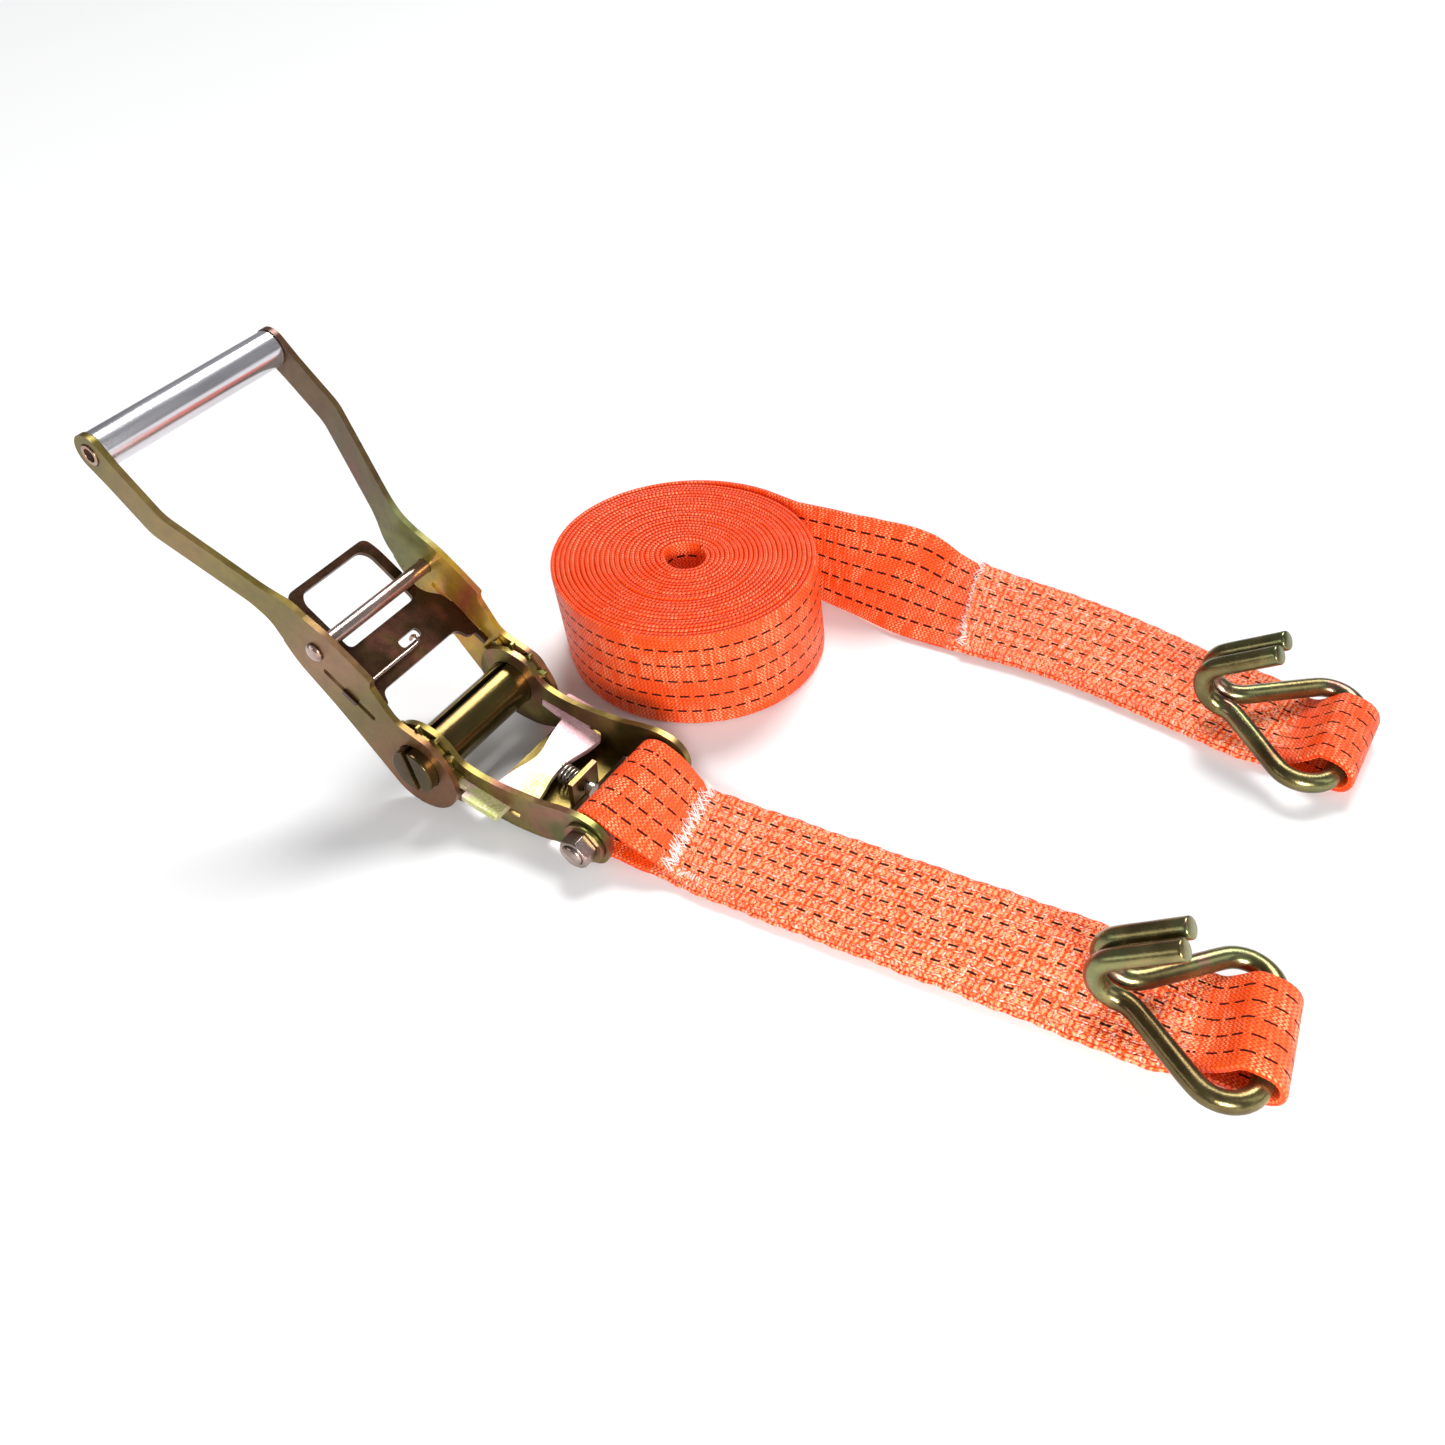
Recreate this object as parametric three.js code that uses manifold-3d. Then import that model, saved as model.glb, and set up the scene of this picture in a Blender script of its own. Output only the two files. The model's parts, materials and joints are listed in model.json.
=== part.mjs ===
import * as THREE from 'three';
import Module from 'manifold-3d';

const wasm = await Module();
wasm.setup();

// ---------------------------------------------------------------- overall layout (mm, degrees)
const GAP = 0.3;                 // running gap between neighbouring parts
const CIRCLE_SIDES = 48;         // facets around a round hole
const WEB_WIDTH = 50;            // webbing width
const WEB_THICK = 2.8;           // webbing thickness
const BOLT_Z = 13;               // height of the frame bolt above the ground
const DRUM_X = -84.4;            // drum axis, measured from the frame bolt
const DRUM_Z = 24.8;
const HANDLE_RISE = 48.6;        // handle direction above the ground, leaning away from the straps

// ---------------------------------------------------------------- frame
const PLATE = 2.8;               // plate thickness of the frame and handle
const FRAME_INNER = 26.5;        // half the inside width of the frame
const FRAME_OUTER = FRAME_INNER + PLATE;
const FRAME_LENGTH = Math.hypot(DRUM_X, DRUM_Z - BOLT_Z);
const FRAME_TILT = Math.atan2(BOLT_Z - DRUM_Z, -DRUM_X);
const HEAD_RADIUS = 19;
const LOBE_RADIUS = 12.8;
const BRIDGE_START = 26;         // plate joining both sides, measured from the drum axis
const BRIDGE_END = 62.4;
const BRIDGE_BOTTOM = -16;
const SEAT_HALF = 8.5;
const SEAT_TOP = -0.6;

// ---------------------------------------------------------------- drum and ratchet wheels
const DRUM_RADIUS = 11;
const DRUM_SLIT = 3.4;
const DRUM_HALF_LENGTH = 40;
const SLIT_ANGLE = 76;
const WHEEL_THICK = 2.6;
const WHEEL_INNER = FRAME_OUTER + GAP;
const WHEEL_OUTER = WHEEL_INNER + WHEEL_THICK;
const TOOTH_COUNT = 12;
const TOOTH_ROOT = 15.8;
const TOOTH_TIP = 20.5;

// ---------------------------------------------------------------- handle
const ARM_INNER = WHEEL_OUTER + GAP;
const ARM_OUTER = ARM_INNER + PLATE;
const GRIP_DISTANCE = 179;       // drum axis to grip axis
const GRIP_HALF = 50;            // drum mid plane to the outside of the grip ends
const FLARE_START = 86;
const FLARE_END = 142;
const FLARE_BLEND = 3.5;         // half the length of each bend in the arms
const FLARE_HALF = 8;            // half the arm's height along the flare
const EYE_RADIUS = 8.8;
const GRIP_RADIUS = 8.3;
const CORE_RADIUS = 4.6;
const CORE_BORE = 3;
const PIN_DISTANCE = 64.4;
const PIN_RADIUS = 3.4;
const RIVET_RADIUS = 4.4;

// ---------------------------------------------------------------- pawls
const LOCK_THICK = 3;
const LOCK_START = [17.6, -3.4];
const LOCK_SLANT = -6.4;
const LOCK_TRAVEL = 5;
const EAR_OUTER = 37;
const DRIVE_THICK = 2.5;
const DRIVE_START = [17, 0];
const DRIVE_SLANT = -8;

// ---------------------------------------------------------------- bolt set
const BOLT_RADIUS = 4.8;
const SPACER_RADIUS = 8;
const HEX_RADIUS = 7.5;
const HEX_CHAMFER = 0.8;
const NUT_HEIGHT = 6.6;
const STUD_LENGTH = 8.2;         // threaded end beyond the left washer
const DOME_RADIUS = 7;           // low round head on the right
const DOME_HEIGHT = 2.4;
const WASHER_THICK = 1.8;
const WASHER_LEFT = 9.8;
const WASHER_RIGHT = 8.8;

// ---------------------------------------------------------------- hooks
const WIRE_RADIUS = 4;
const HOOK_HALF = 29.5;          // half the width of the hook, wire centre to wire centre
const HOOK_CORNER = 12;
const HOOK_NECK = 44;            // bar to the start of the claws
const HOOK_SLOPE = 40;           // slant of the sides that run in to the neck
const CLAW_SPREAD = 4.9;
const CLAW_RADIUS = 11;
const CLAW_SWEEP = 141;
const CLAW_ARM = 26;

// ---------------------------------------------------------------- straps
const SHORT_BAR = [261, 6.5, 9];
const SHORT_BAR_YAW = 9.5;
const SHORT_BAR_PITCH = 8;
const LONG_BAR_YAW = 1;
const LONG_BAR_PITCH = 8;
const COIL_CENTRE = [-45.7, 113.4];
const COIL_AXES = [69.1, 60.6];
const COIL_HOLE = [10.5, 8.5];
const COIL_TURN = -16.1;

const rad = THREE.MathUtils.degToRad;
const group = new THREE.Group();

// ---------------------------------------------------------------- materials
const zinc = { color: 0x9c8a4a, metalness: 0.9, roughness: 0.35 };
const steel = { color: 0xb9bcc0, metalness: 0.9, roughness: 0.3 };
const bronze = { color: 0x6f6648, metalness: 0.9, roughness: 0.4 };
const aluminium = { color: 0xc9ccd0, metalness: 0.8, roughness: 0.3 };
const webbing = { color: 0xff5a26, metalness: 0.0, roughness: 0.85 };

function addPart(name, geometry, look) {
  const material = new THREE.MeshStandardMaterial(look);
  material.name = name;
  const mesh = new THREE.Mesh(geometry, material);
  mesh.name = name;
  group.add(mesh);
}

// ---------------------------------------------------------------- solid helpers
function weld(geometry) {
  const lookup = new Map();
  const position = geometry.getAttribute('position');
  const index = geometry.index;
  const corners = index ? index.count : position.count;
  const points = [];
  const triangles = [];
  for (let i = 0; i < corners; i += 1) {
    const v = index ? index.getX(i) : i;
    const xyz = [position.getX(v), position.getY(v), position.getZ(v)];
    const key = xyz.map((value) => Math.round(value * 1e4)).join(',');
    if (!lookup.has(key)) {
      lookup.set(key, points.length / 3);
      points.push(...xyz);
    }
    triangles.push(lookup.get(key));
  }
  const kept = [];
  for (let i = 0; i < triangles.length; i += 3) {
    const [a, b, c] = triangles.slice(i, i + 3);
    if (a !== b && b !== c && c !== a) {
      kept.push(a, b, c);
    }
  }
  return { points, kept };
}

function toSolid(geometry) {
  const { points, kept } = weld(geometry);
  return new wasm.Manifold(new wasm.Mesh({
    numProp: 3,
    vertProperties: new Float32Array(points),
    triVerts: new Uint32Array(kept),
  }));
}

function toGeometry(solid) {
  const mesh = solid.getMesh();
  const geometry = new THREE.BufferGeometry();
  geometry.setAttribute('position', new THREE.BufferAttribute(new Float32Array(mesh.vertProperties), 3));
  geometry.setIndex(new THREE.BufferAttribute(new Uint32Array(mesh.triVerts), 1));
  geometry.computeVertexNormals();
  return geometry;
}

function unite(...geometries) {
  return toGeometry(geometries.map(toSolid).reduce((sum, next) => sum.add(next)));
}

function cut(body, ...tools) {
  return toGeometry(tools.map(toSolid).reduce((rest, tool) => rest.subtract(tool), toSolid(body)));
}

// ---------------------------------------------------------------- local frames
const Y = new THREE.Vector3(0, 1, 0);
const drumPoint = new THREE.Vector3(DRUM_X, 0, DRUM_Z);
const boltPoint = new THREE.Vector3(0, 0, BOLT_Z);
const frameAlong = new THREE.Vector3(Math.cos(FRAME_TILT), 0, Math.sin(FRAME_TILT));
const frameUp = new THREE.Vector3(-Math.sin(FRAME_TILT), 0, Math.cos(FRAME_TILT));
const handleAlong = new THREE.Vector3(-Math.cos(rad(HANDLE_RISE)), 0, Math.sin(rad(HANDLE_RISE)));
const handleUp = new THREE.Vector3(Math.sin(rad(HANDLE_RISE)), 0, Math.cos(rad(HANDLE_RISE)));

function turned(along, up, degrees) {
  const angle = rad(degrees);
  return along.clone().multiplyScalar(Math.cos(angle)).addScaledVector(up, Math.sin(angle));
}

function basis(x, y, z, origin) {
  return new THREE.Matrix4().makeBasis(x, y, z).setPosition(origin);
}

// corners: [x, y, corner radius] in order
function roundedPath(corners, path) {
  const area = THREE.ShapeUtils.area(corners.map(([x, y]) => new THREE.Vector2(x, y)));
  const points = area < 0 ? [...corners].reverse() : corners;
  const count = points.length;
  for (let i = 0; i < count; i += 1) {
    const [px, py] = points[(i + count - 1) % count];
    const [cx, cy, radius = 0] = points[i];
    const [nx, ny] = points[(i + 1) % count];
    const back = Math.hypot(px - cx, py - cy);
    const ahead = Math.hypot(nx - cx, ny - cy);
    const reach = Math.min(radius, back * 0.49, ahead * 0.49);
    const ax = cx + (px - cx) * reach / back;
    const ay = cy + (py - cy) * reach / back;
    const bx = cx + (nx - cx) * reach / ahead;
    const by = cy + (ny - cy) * reach / ahead;
    if (i === 0) {
      path.moveTo(ax, ay);
    } else {
      path.lineTo(ax, ay);
    }
    if (reach > 0) {
      path.quadraticCurveTo(cx, cy, bx, by);
    }
  }
  path.closePath();
  return path;
}

function circlePath(x, y, radius) {
  const points = [];
  for (let i = 0; i < CIRCLE_SIDES; i += 1) {
    const angle = -i / CIRCLE_SIDES * Math.PI * 2;
    points.push(new THREE.Vector2(x + radius * Math.cos(angle), y + radius * Math.sin(angle)));
  }
  return new THREE.Path(points);
}

function slab(shape, depth, matrix, segments = 8) {
  const geometry = new THREE.ExtrudeGeometry(shape, { depth, bevelEnabled: false, curveSegments: segments });
  return geometry.applyMatrix4(matrix);
}

// plate lying across y, drawn in the frame's plane, between y = low and y = high
function framePlate(shape, low, high, segments) {
  const across = Y.clone().negate();
  const origin = drumPoint.clone().addScaledVector(Y, high);
  return slab(shape, high - low, basis(frameAlong, frameUp, across, origin), segments);
}

function handlePlate(shape, low, high, segments) {
  const origin = drumPoint.clone().addScaledVector(Y, low);
  return slab(shape, high - low, basis(handleAlong, handleUp, Y, origin), segments);
}

function box(x0, x1, y0, y1) {
  return new THREE.Shape([
    new THREE.Vector2(x0, y0), new THREE.Vector2(x1, y0),
    new THREE.Vector2(x1, y1), new THREE.Vector2(x0, y1),
  ]);
}

// solid of revolution about an axis along y through a point
function turnedPart(profile, point, segments = 28) {
  const points = profile.map(([radius, y]) => new THREE.Vector2(radius, y));
  const geometry = new THREE.LatheGeometry(points, segments);
  return geometry.translate(point.x, point.y, point.z);
}

function rod(radius, low, high, point, segments) {
  return turnedPart([[0, low], [radius, low], [radius, high], [0, high]], point, segments);
}

function tubeAcross(outer, inner, low, high, point, segments) {
  const profile = [[inner, low], [outer, low], [outer, high], [inner, high], [inner, low]];
  return turnedPart(profile, point, segments);
}

// round wire along a list of points
function wire(points, radius, sides = 12) {
  const count = points.length;
  const tangents = points.map((point, i) => {
    const before = points[Math.max(i - 1, 0)];
    const after = points[Math.min(i + 1, count - 1)];
    return after.clone().sub(before).normalize();
  });
  const helper = Math.abs(tangents[0].y) < 0.9 ? Y : new THREE.Vector3(0, 0, 1);
  let side = new THREE.Vector3().crossVectors(tangents[0], helper).normalize();
  const vertices = [];
  points.forEach((point, i) => {
    side = side.clone().addScaledVector(tangents[i], -side.dot(tangents[i])).normalize();
    const other = new THREE.Vector3().crossVectors(tangents[i], side);
    for (let k = 0; k < sides; k += 1) {
      const angle = (k / sides) * Math.PI * 2;
      const vertex = point.clone()
        .addScaledVector(side, Math.cos(angle) * radius)
        .addScaledVector(other, Math.sin(angle) * radius);
      vertices.push(vertex.x, vertex.y, vertex.z);
    }
  });
  const faces = [];
  for (let i = 0; i < count - 1; i += 1) {
    for (let k = 0; k < sides; k += 1) {
      const a = i * sides + k;
      const b = i * sides + (k + 1) % sides;
      faces.push(a, b, b + sides, a, b + sides, a + sides);
    }
  }
  for (let k = 1; k < sides - 1; k += 1) {
    faces.push(0, k + 1, k);
    const last = (count - 1) * sides;
    faces.push(last, last + k, last + k + 1);
  }
  return fromLists(vertices, faces);
}

function fromLists(vertices, faces) {
  const geometry = new THREE.BufferGeometry();
  geometry.setAttribute('position', new THREE.BufferAttribute(new Float32Array(vertices), 3));
  geometry.setIndex(faces);
  geometry.computeVertexNormals();
  return geometry;
}

// flat strip through sections {centre, half, normal}; half spans the width, normal the thickness
function strip(sections, closed) {
  const vertices = [];
  sections.forEach(({ centre, half, normal }) => {
    [[-1, -1], [1, -1], [1, 1], [-1, 1]].forEach(([w, h]) => {
      const corner = centre.clone().addScaledVector(half, w).addScaledVector(normal, h);
      vertices.push(corner.x, corner.y, corner.z);
    });
  });
  const faces = [];
  const count = sections.length;
  const spans = closed ? count : count - 1;
  for (let i = 0; i < spans; i += 1) {
    const next = (i + 1) % count;
    for (let k = 0; k < 4; k += 1) {
      const a = i * 4 + k;
      const b = i * 4 + (k + 1) % 4;
      const c = next * 4 + (k + 1) % 4;
      const d = next * 4 + k;
      faces.push(a, b, c, a, c, d);
    }
  }
  if (!closed) {
    const last = (count - 1) * 4;
    faces.push(0, 2, 1, 0, 3, 2);
    faces.push(last, last + 1, last + 2, last, last + 2, last + 3);
  }
  return fromLists(vertices, faces);
}

function helix(start, direction, turns, length, radius, wireRadius, steps = 12) {
  const helper = new THREE.Vector3().crossVectors(direction, Y).normalize();
  const other = new THREE.Vector3().crossVectors(direction, helper);
  const points = [];
  for (let i = 0; i <= turns * steps; i += 1) {
    const part = i / (turns * steps);
    const angle = part * turns * Math.PI * 2;
    points.push(start.clone()
      .addScaledVector(direction, wireRadius + part * (length - 2 * wireRadius))
      .addScaledVector(helper, Math.cos(angle) * radius)
      .addScaledVector(other, Math.sin(angle) * radius));
  }
  return wire(points, wireRadius, 6);
}

// ---------------------------------------------------------------- frame
function slotPath(start, slant, from, to, width) {
  const angle = rad(slant);
  const corners = [[from, -width / 2], [to, -width / 2], [to, width / 2], [from, width / 2]];
  const points = corners.map(([along, side]) => [
    start[0] + (along - start[0]) * Math.cos(angle) - side * Math.sin(angle),
    start[1] + (along - start[0]) * Math.sin(angle) + side * Math.cos(angle),
    0.8,
  ]);
  return roundedPath(points, new THREE.Path());
}

function frameSideShape() {
  const L = FRAME_LENGTH;
  const shape = roundedPath([
    [-HEAD_RADIUS, 0, 8], [-14.5, 13, 7], [-3, HEAD_RADIUS, 7], [11, 16.5, 7], [18, 7, 4], [27, 4.8, 6],
    [40, 4.8, 8], [52, 6.4, 8], [62, 7.8, 8], [72, 10.8, 6], [L - 3, LOBE_RADIUS, 7],
    [L + 8.5, 10.5, 6], [L + LOBE_RADIUS, 0, 6], [L + 8.5, -10.2, 6], [L - 2, -LOBE_RADIUS, 6],
    [72, -9.6, 6], [62, -13.6, 6], [46, BRIDGE_BOTTOM, 4], [24, BRIDGE_BOTTOM, 3], [14, -20, 5],
    [-2, -20, 8], [-14, -14, 8],
  ], new THREE.Shape());
  shape.holes.push(circlePath(0, 0, DRUM_RADIUS + GAP));
  shape.holes.push(circlePath(L, 0, BOLT_RADIUS + GAP));
  shape.holes.push(slotPath(LOCK_START, LOCK_SLANT, 16.9, 50, LOCK_THICK + 2 * GAP));
  return shape;
}

function buildFrame() {
  const side = frameSideShape();
  const left = framePlate(side, -FRAME_OUTER, -FRAME_INNER);
  const right = framePlate(side, FRAME_INNER, FRAME_OUTER);
  const floorLow = BRIDGE_BOTTOM + 0.5;
  const bridge = framePlate(box(BRIDGE_START, BRIDGE_END, floorLow, floorLow + PLATE), -27.5, 27.5);
  const seatShape = box(BRIDGE_END - 2.9, BRIDGE_END - 0.5, floorLow + 1.4, SEAT_TOP);
  const seat = framePlate(seatShape, -SEAT_HALF, SEAT_HALF);
  const springAxis = lockPoint(60, 0);
  const hole = new THREE.CylinderGeometry(2.4, 2.4, 12, 16);
  hole.applyMatrix4(basis(Y, lockAlong, new THREE.Vector3().crossVectors(Y, lockAlong), springAxis));
  return cut(unite(left, right, bridge, seat), hole);
}

// point on the lock pawl's plane: along from the drum axis, y across
function lockPoint(along, y) {
  const angle = rad(LOCK_SLANT);
  return drumPoint.clone()
    .addScaledVector(frameAlong, LOCK_START[0] + (along - LOCK_START[0]) * Math.cos(angle))
    .addScaledVector(frameUp, LOCK_START[1] + (along - LOCK_START[0]) * Math.sin(angle))
    .addScaledVector(Y, y);
}

const lockAlong = turned(frameAlong, frameUp, LOCK_SLANT);
const lockUp = turned(frameUp, frameAlong.clone().negate(), LOCK_SLANT);

function buildLockPawl() {
  const half = [
    [36.6, 0, 6], [33, 12, 4], [31, 24, 2], [17.6, 25.8, 0.4], [17.2, WHEEL_OUTER, 0.3],
    [24.2, WHEEL_OUTER + 0.1, 0.4], [24.2, EAR_OUTER, 1.2], [43.4, EAR_OUTER, 1.2],
    [43.4, 26.1, 0.5], [52, 25.4, 2.5], [51.5, 17, 4], [48.2, 5, 5],
  ];
  const mirrored = half.slice(1).reverse().map(([x, y, radius]) => [x, -y, radius]);
  const shape = roundedPath([...half, ...mirrored], new THREE.Shape());
  const origin = drumPoint.clone()
    .addScaledVector(frameAlong, LOCK_START[0] * (1 - Math.cos(rad(LOCK_SLANT))))
    .addScaledVector(frameUp, LOCK_START[1] - LOCK_START[0] * Math.sin(rad(LOCK_SLANT)))
    .addScaledVector(lockUp, -LOCK_THICK / 2);
  return slab(shape, LOCK_THICK, basis(lockAlong, Y, lockUp, origin), 6);
}

// ---------------------------------------------------------------- drum and wheels
function buildDrumHalf(sign) {
  const start = Math.asin(DRUM_SLIT / 2 / DRUM_RADIUS);
  const shape = new THREE.Shape();
  shape.absarc(0, 0, DRUM_RADIUS, start, Math.PI - start, false);
  shape.closePath();
  const slit = turned(frameAlong, frameUp, -SLIT_ANGLE);
  const side = turned(frameAlong, frameUp, 90 - SLIT_ANGLE);
  const x = slit.clone().multiplyScalar(-sign);
  const y = side.clone().multiplyScalar(-sign);
  const z = new THREE.Vector3().crossVectors(x, y);
  const origin = drumPoint.clone().addScaledVector(z, -DRUM_HALF_LENGTH);
  return slab(shape, 2 * DRUM_HALF_LENGTH, basis(x, y, z, origin), 14);
}

function wheelShape() {
  const contact = Math.atan2(LOCK_START[1], LOCK_START[0]);
  const pitch = Math.PI * 2 / TOOTH_COUNT;
  const shape = new THREE.Shape();
  for (let i = 0; i < TOOTH_COUNT; i += 1) {
    const middle = contact + i * pitch;
    const corners = [
      [-rad(9), TOOTH_ROOT], [0, TOOTH_ROOT], [rad(7.5), TOOTH_ROOT],
      [rad(9), TOOTH_TIP - 0.3], [rad(13), TOOTH_TIP],
    ];
    corners.forEach(([offset, radius], k) => {
      const x = Math.cos(middle + offset) * radius;
      const y = Math.sin(middle + offset) * radius;
      if (i === 0 && k === 0) {
        shape.moveTo(x, y);
      } else {
        shape.lineTo(x, y);
      }
    });
  }
  shape.closePath();
  shape.holes.push(circlePath(0, 0, DRUM_RADIUS + GAP));
  return shape;
}

// ---------------------------------------------------------------- handle
function armBodyShape() {
  const shape = roundedPath([
    [FLARE_START, -11, 1], [77, -15.5, 12], [66, -19, 12], [41, -20, 12], [14, -23.5, 16],
    [-4, -26, 7], [-12, -23, 6], [-18.8, -16.3, 6], [-22.4, -6.5, 8], [-21.6, 4, 8],
    [-16.5, 12, 6], [-7, 17, 6], [4, 18, 6], [13, 13.5, 6], [21, 9.5, 5], [38, 14.5, 1.5],
    [39.5, 18.2, 0.8], [50, 17.5, 8], [66, 15.5, 10], [77, 12, 10], [FLARE_START, 10.4, 1],
  ], new THREE.Shape());
  shape.holes.push(circlePath(0, 0, DRUM_RADIUS + GAP));
  shape.holes.push(circlePath(PIN_DISTANCE, 0, PIN_RADIUS + GAP));
  shape.holes.push(slotPath(DRIVE_START, DRIVE_SLANT, 27, 57, DRIVE_THICK + 2 * GAP));
  return shape;
}

function armEndShape() {
  const reach = GRIP_DISTANCE;
  const shape = new THREE.Shape();
  shape.moveTo(FLARE_END - 2, -FLARE_HALF);
  shape.lineTo(reach - 12, -FLARE_HALF);
  shape.lineTo(reach, -EYE_RADIUS);
  shape.absarc(reach, 0, EYE_RADIUS, -Math.PI / 2, Math.PI / 2, false);
  shape.lineTo(reach - 12, FLARE_HALF);
  shape.lineTo(FLARE_END - 2, FLARE_HALF);
  shape.closePath();
  shape.holes.push(circlePath(reach, 0, CORE_RADIUS + GAP));
  return shape;
}

function smoothstep(value, low, high) {
  const t = THREE.MathUtils.clamp((value - low) / (high - low), 0, 1);
  return t * t * (3 - 2 * t);
}

function flareOffset(along) {
  const blend = FLARE_BLEND;
  const slope = (GRIP_HALF - ARM_OUTER) / (FLARE_END - FLARE_START);
  const start = FLARE_START;
  const end = FLARE_END;
  const ramp = (distance) => {
    if (distance <= -blend) {
      return 0;
    }
    return distance >= blend ? distance : (distance + blend) ** 2 / (4 * blend);
  };
  return slope * (ramp(along - start) - ramp(along - end));
}

function buildArm(sign) {
  const low = sign > 0 ? ARM_INNER : -ARM_OUTER;
  const endLow = sign > 0 ? GRIP_HALF - PLATE : -GRIP_HALF;
  const sections = [];
  const first = FLARE_START - 9;
  const last = FLARE_END + 9;
  const steps = 40;
  for (let i = 0; i <= steps; i += 1) {
    const along = first + (last - first) * i / steps;
    const offset = sign * (ARM_INNER + PLATE / 2 + flareOffset(along));
    const t = smoothstep(along, first - 4, FLARE_START + 14);
    const bottom = THREE.MathUtils.lerp(-15, -FLARE_HALF, t);
    const top = THREE.MathUtils.lerp(12, FLARE_HALF, t);
    sections.push({
      centre: drumPoint.clone().addScaledVector(handleAlong, along)
        .addScaledVector(handleUp, (top + bottom) / 2).addScaledVector(Y, offset),
      half: handleUp.clone().multiplyScalar((top - bottom) / 2),
      normal: Y.clone().multiplyScalar(PLATE / 2),
    });
  }
  const flare = toSolid(strip(sections, false));
  const body = toSolid(handlePlate(armBodyShape(), low, low + PLATE));
  const trimShape = box(first + 0.5, last, -40, 40);
  const trim = toSolid(handlePlate(trimShape, low - 1, low + PLATE + 1));
  const end = toSolid(handlePlate(armEndShape(), endLow, endLow + PLATE));
  const endTrim = toSolid(handlePlate(box(FLARE_END - 10, last - 0.5, -40, 40), endLow - 1, endLow + PLATE + 1));
  return toGeometry(body.subtract(trim).add(flare).add(end.subtract(endTrim)));
}

const gripPoint = drumPoint.clone().addScaledVector(handleAlong, GRIP_DISTANCE);
const pinPoint = drumPoint.clone().addScaledVector(handleAlong, PIN_DISTANCE);

const driveAlong = turned(handleAlong, handleUp, DRIVE_SLANT);
const driveUp = turned(handleUp, handleAlong.clone().negate(), DRIVE_SLANT);

function buildDrivePawl() {
  const half = [
    [34, 0, 1], [34, 23.5, 5], [28, 26, 3], [27.6, WHEEL_INNER, 0.5], [21.3, WHEEL_INNER, 0.4],
    [21.3, WHEEL_OUTER, 0.4], [37, WHEEL_OUTER, 0.2], [37, EAR_OUTER - 0.4, 0.8],
    [45, EAR_OUTER - 0.4, 0.8], [45, WHEEL_OUTER, 0.2], [50, 31.5, 4], [57, 25, 5],
    [84, 25, 5], [91.5, 23.6, 6], [91.5, 0, 1],
  ];
  const mirrored = half.slice(1, -1).reverse().map(([x, y, radius]) => [x, -y, radius]);
  const shape = roundedPath([...half, ...mirrored], new THREE.Shape());
  shape.holes.push(roundedPath([
    [56.5, -20, 3], [56.5, 20, 3], [84, 20, 4], [88, 17, 3], [88, -17, 3], [84, -20, 4],
  ], new THREE.Path()));
  shape.holes.push(roundedPath([
    [42, -2, 2], [42, 10, 2], [46.5, 10, 2], [46.5, -2, 2],
  ], new THREE.Path()));
  const angle = rad(DRIVE_SLANT);
  const origin = drumPoint.clone()
    .addScaledVector(handleAlong, DRIVE_START[0] * (1 - Math.cos(angle)))
    .addScaledVector(handleUp, DRIVE_START[1] - DRIVE_START[0] * Math.sin(angle))
    .addScaledVector(driveUp, DRIVE_THICK / 2);
  return slab(shape, DRIVE_THICK, basis(driveAlong, Y, driveUp.clone().negate(), origin), 6);
}

function drivePoint(along, y, lift) {
  const angle = rad(DRIVE_SLANT);
  return drumPoint.clone()
    .addScaledVector(handleAlong, DRIVE_START[0] * (1 - Math.cos(angle)))
    .addScaledVector(handleUp, DRIVE_START[1] - DRIVE_START[0] * Math.sin(angle))
    .addScaledVector(driveAlong, along)
    .addScaledVector(driveUp, lift)
    .addScaledVector(Y, y);
}

// ---------------------------------------------------------------- nut
function buildNut(low, high) {
  const blank = new THREE.CylinderGeometry(HEX_RADIUS, HEX_RADIUS, high - low, 6).rotateY(rad(20))
    .translate(boltPoint.x, (low + high) / 2, boltPoint.z);
  const edge = HEX_RADIUS - HEX_CHAMFER;
  const turnedBlank = turnedPart([
    [0, low], [edge, low], [HEX_RADIUS + 0.1, low + 1.1],
    [HEX_RADIUS + 0.1, high - 0.4], [edge + 0.5, high], [0, high],
  ], boltPoint, 36);
  const bore = toSolid(rod(BOLT_RADIUS + GAP, low - 5, high + 5, boltPoint, 24));
  return toGeometry(toSolid(blank).intersect(toSolid(turnedBlank)).subtract(bore));
}

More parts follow.
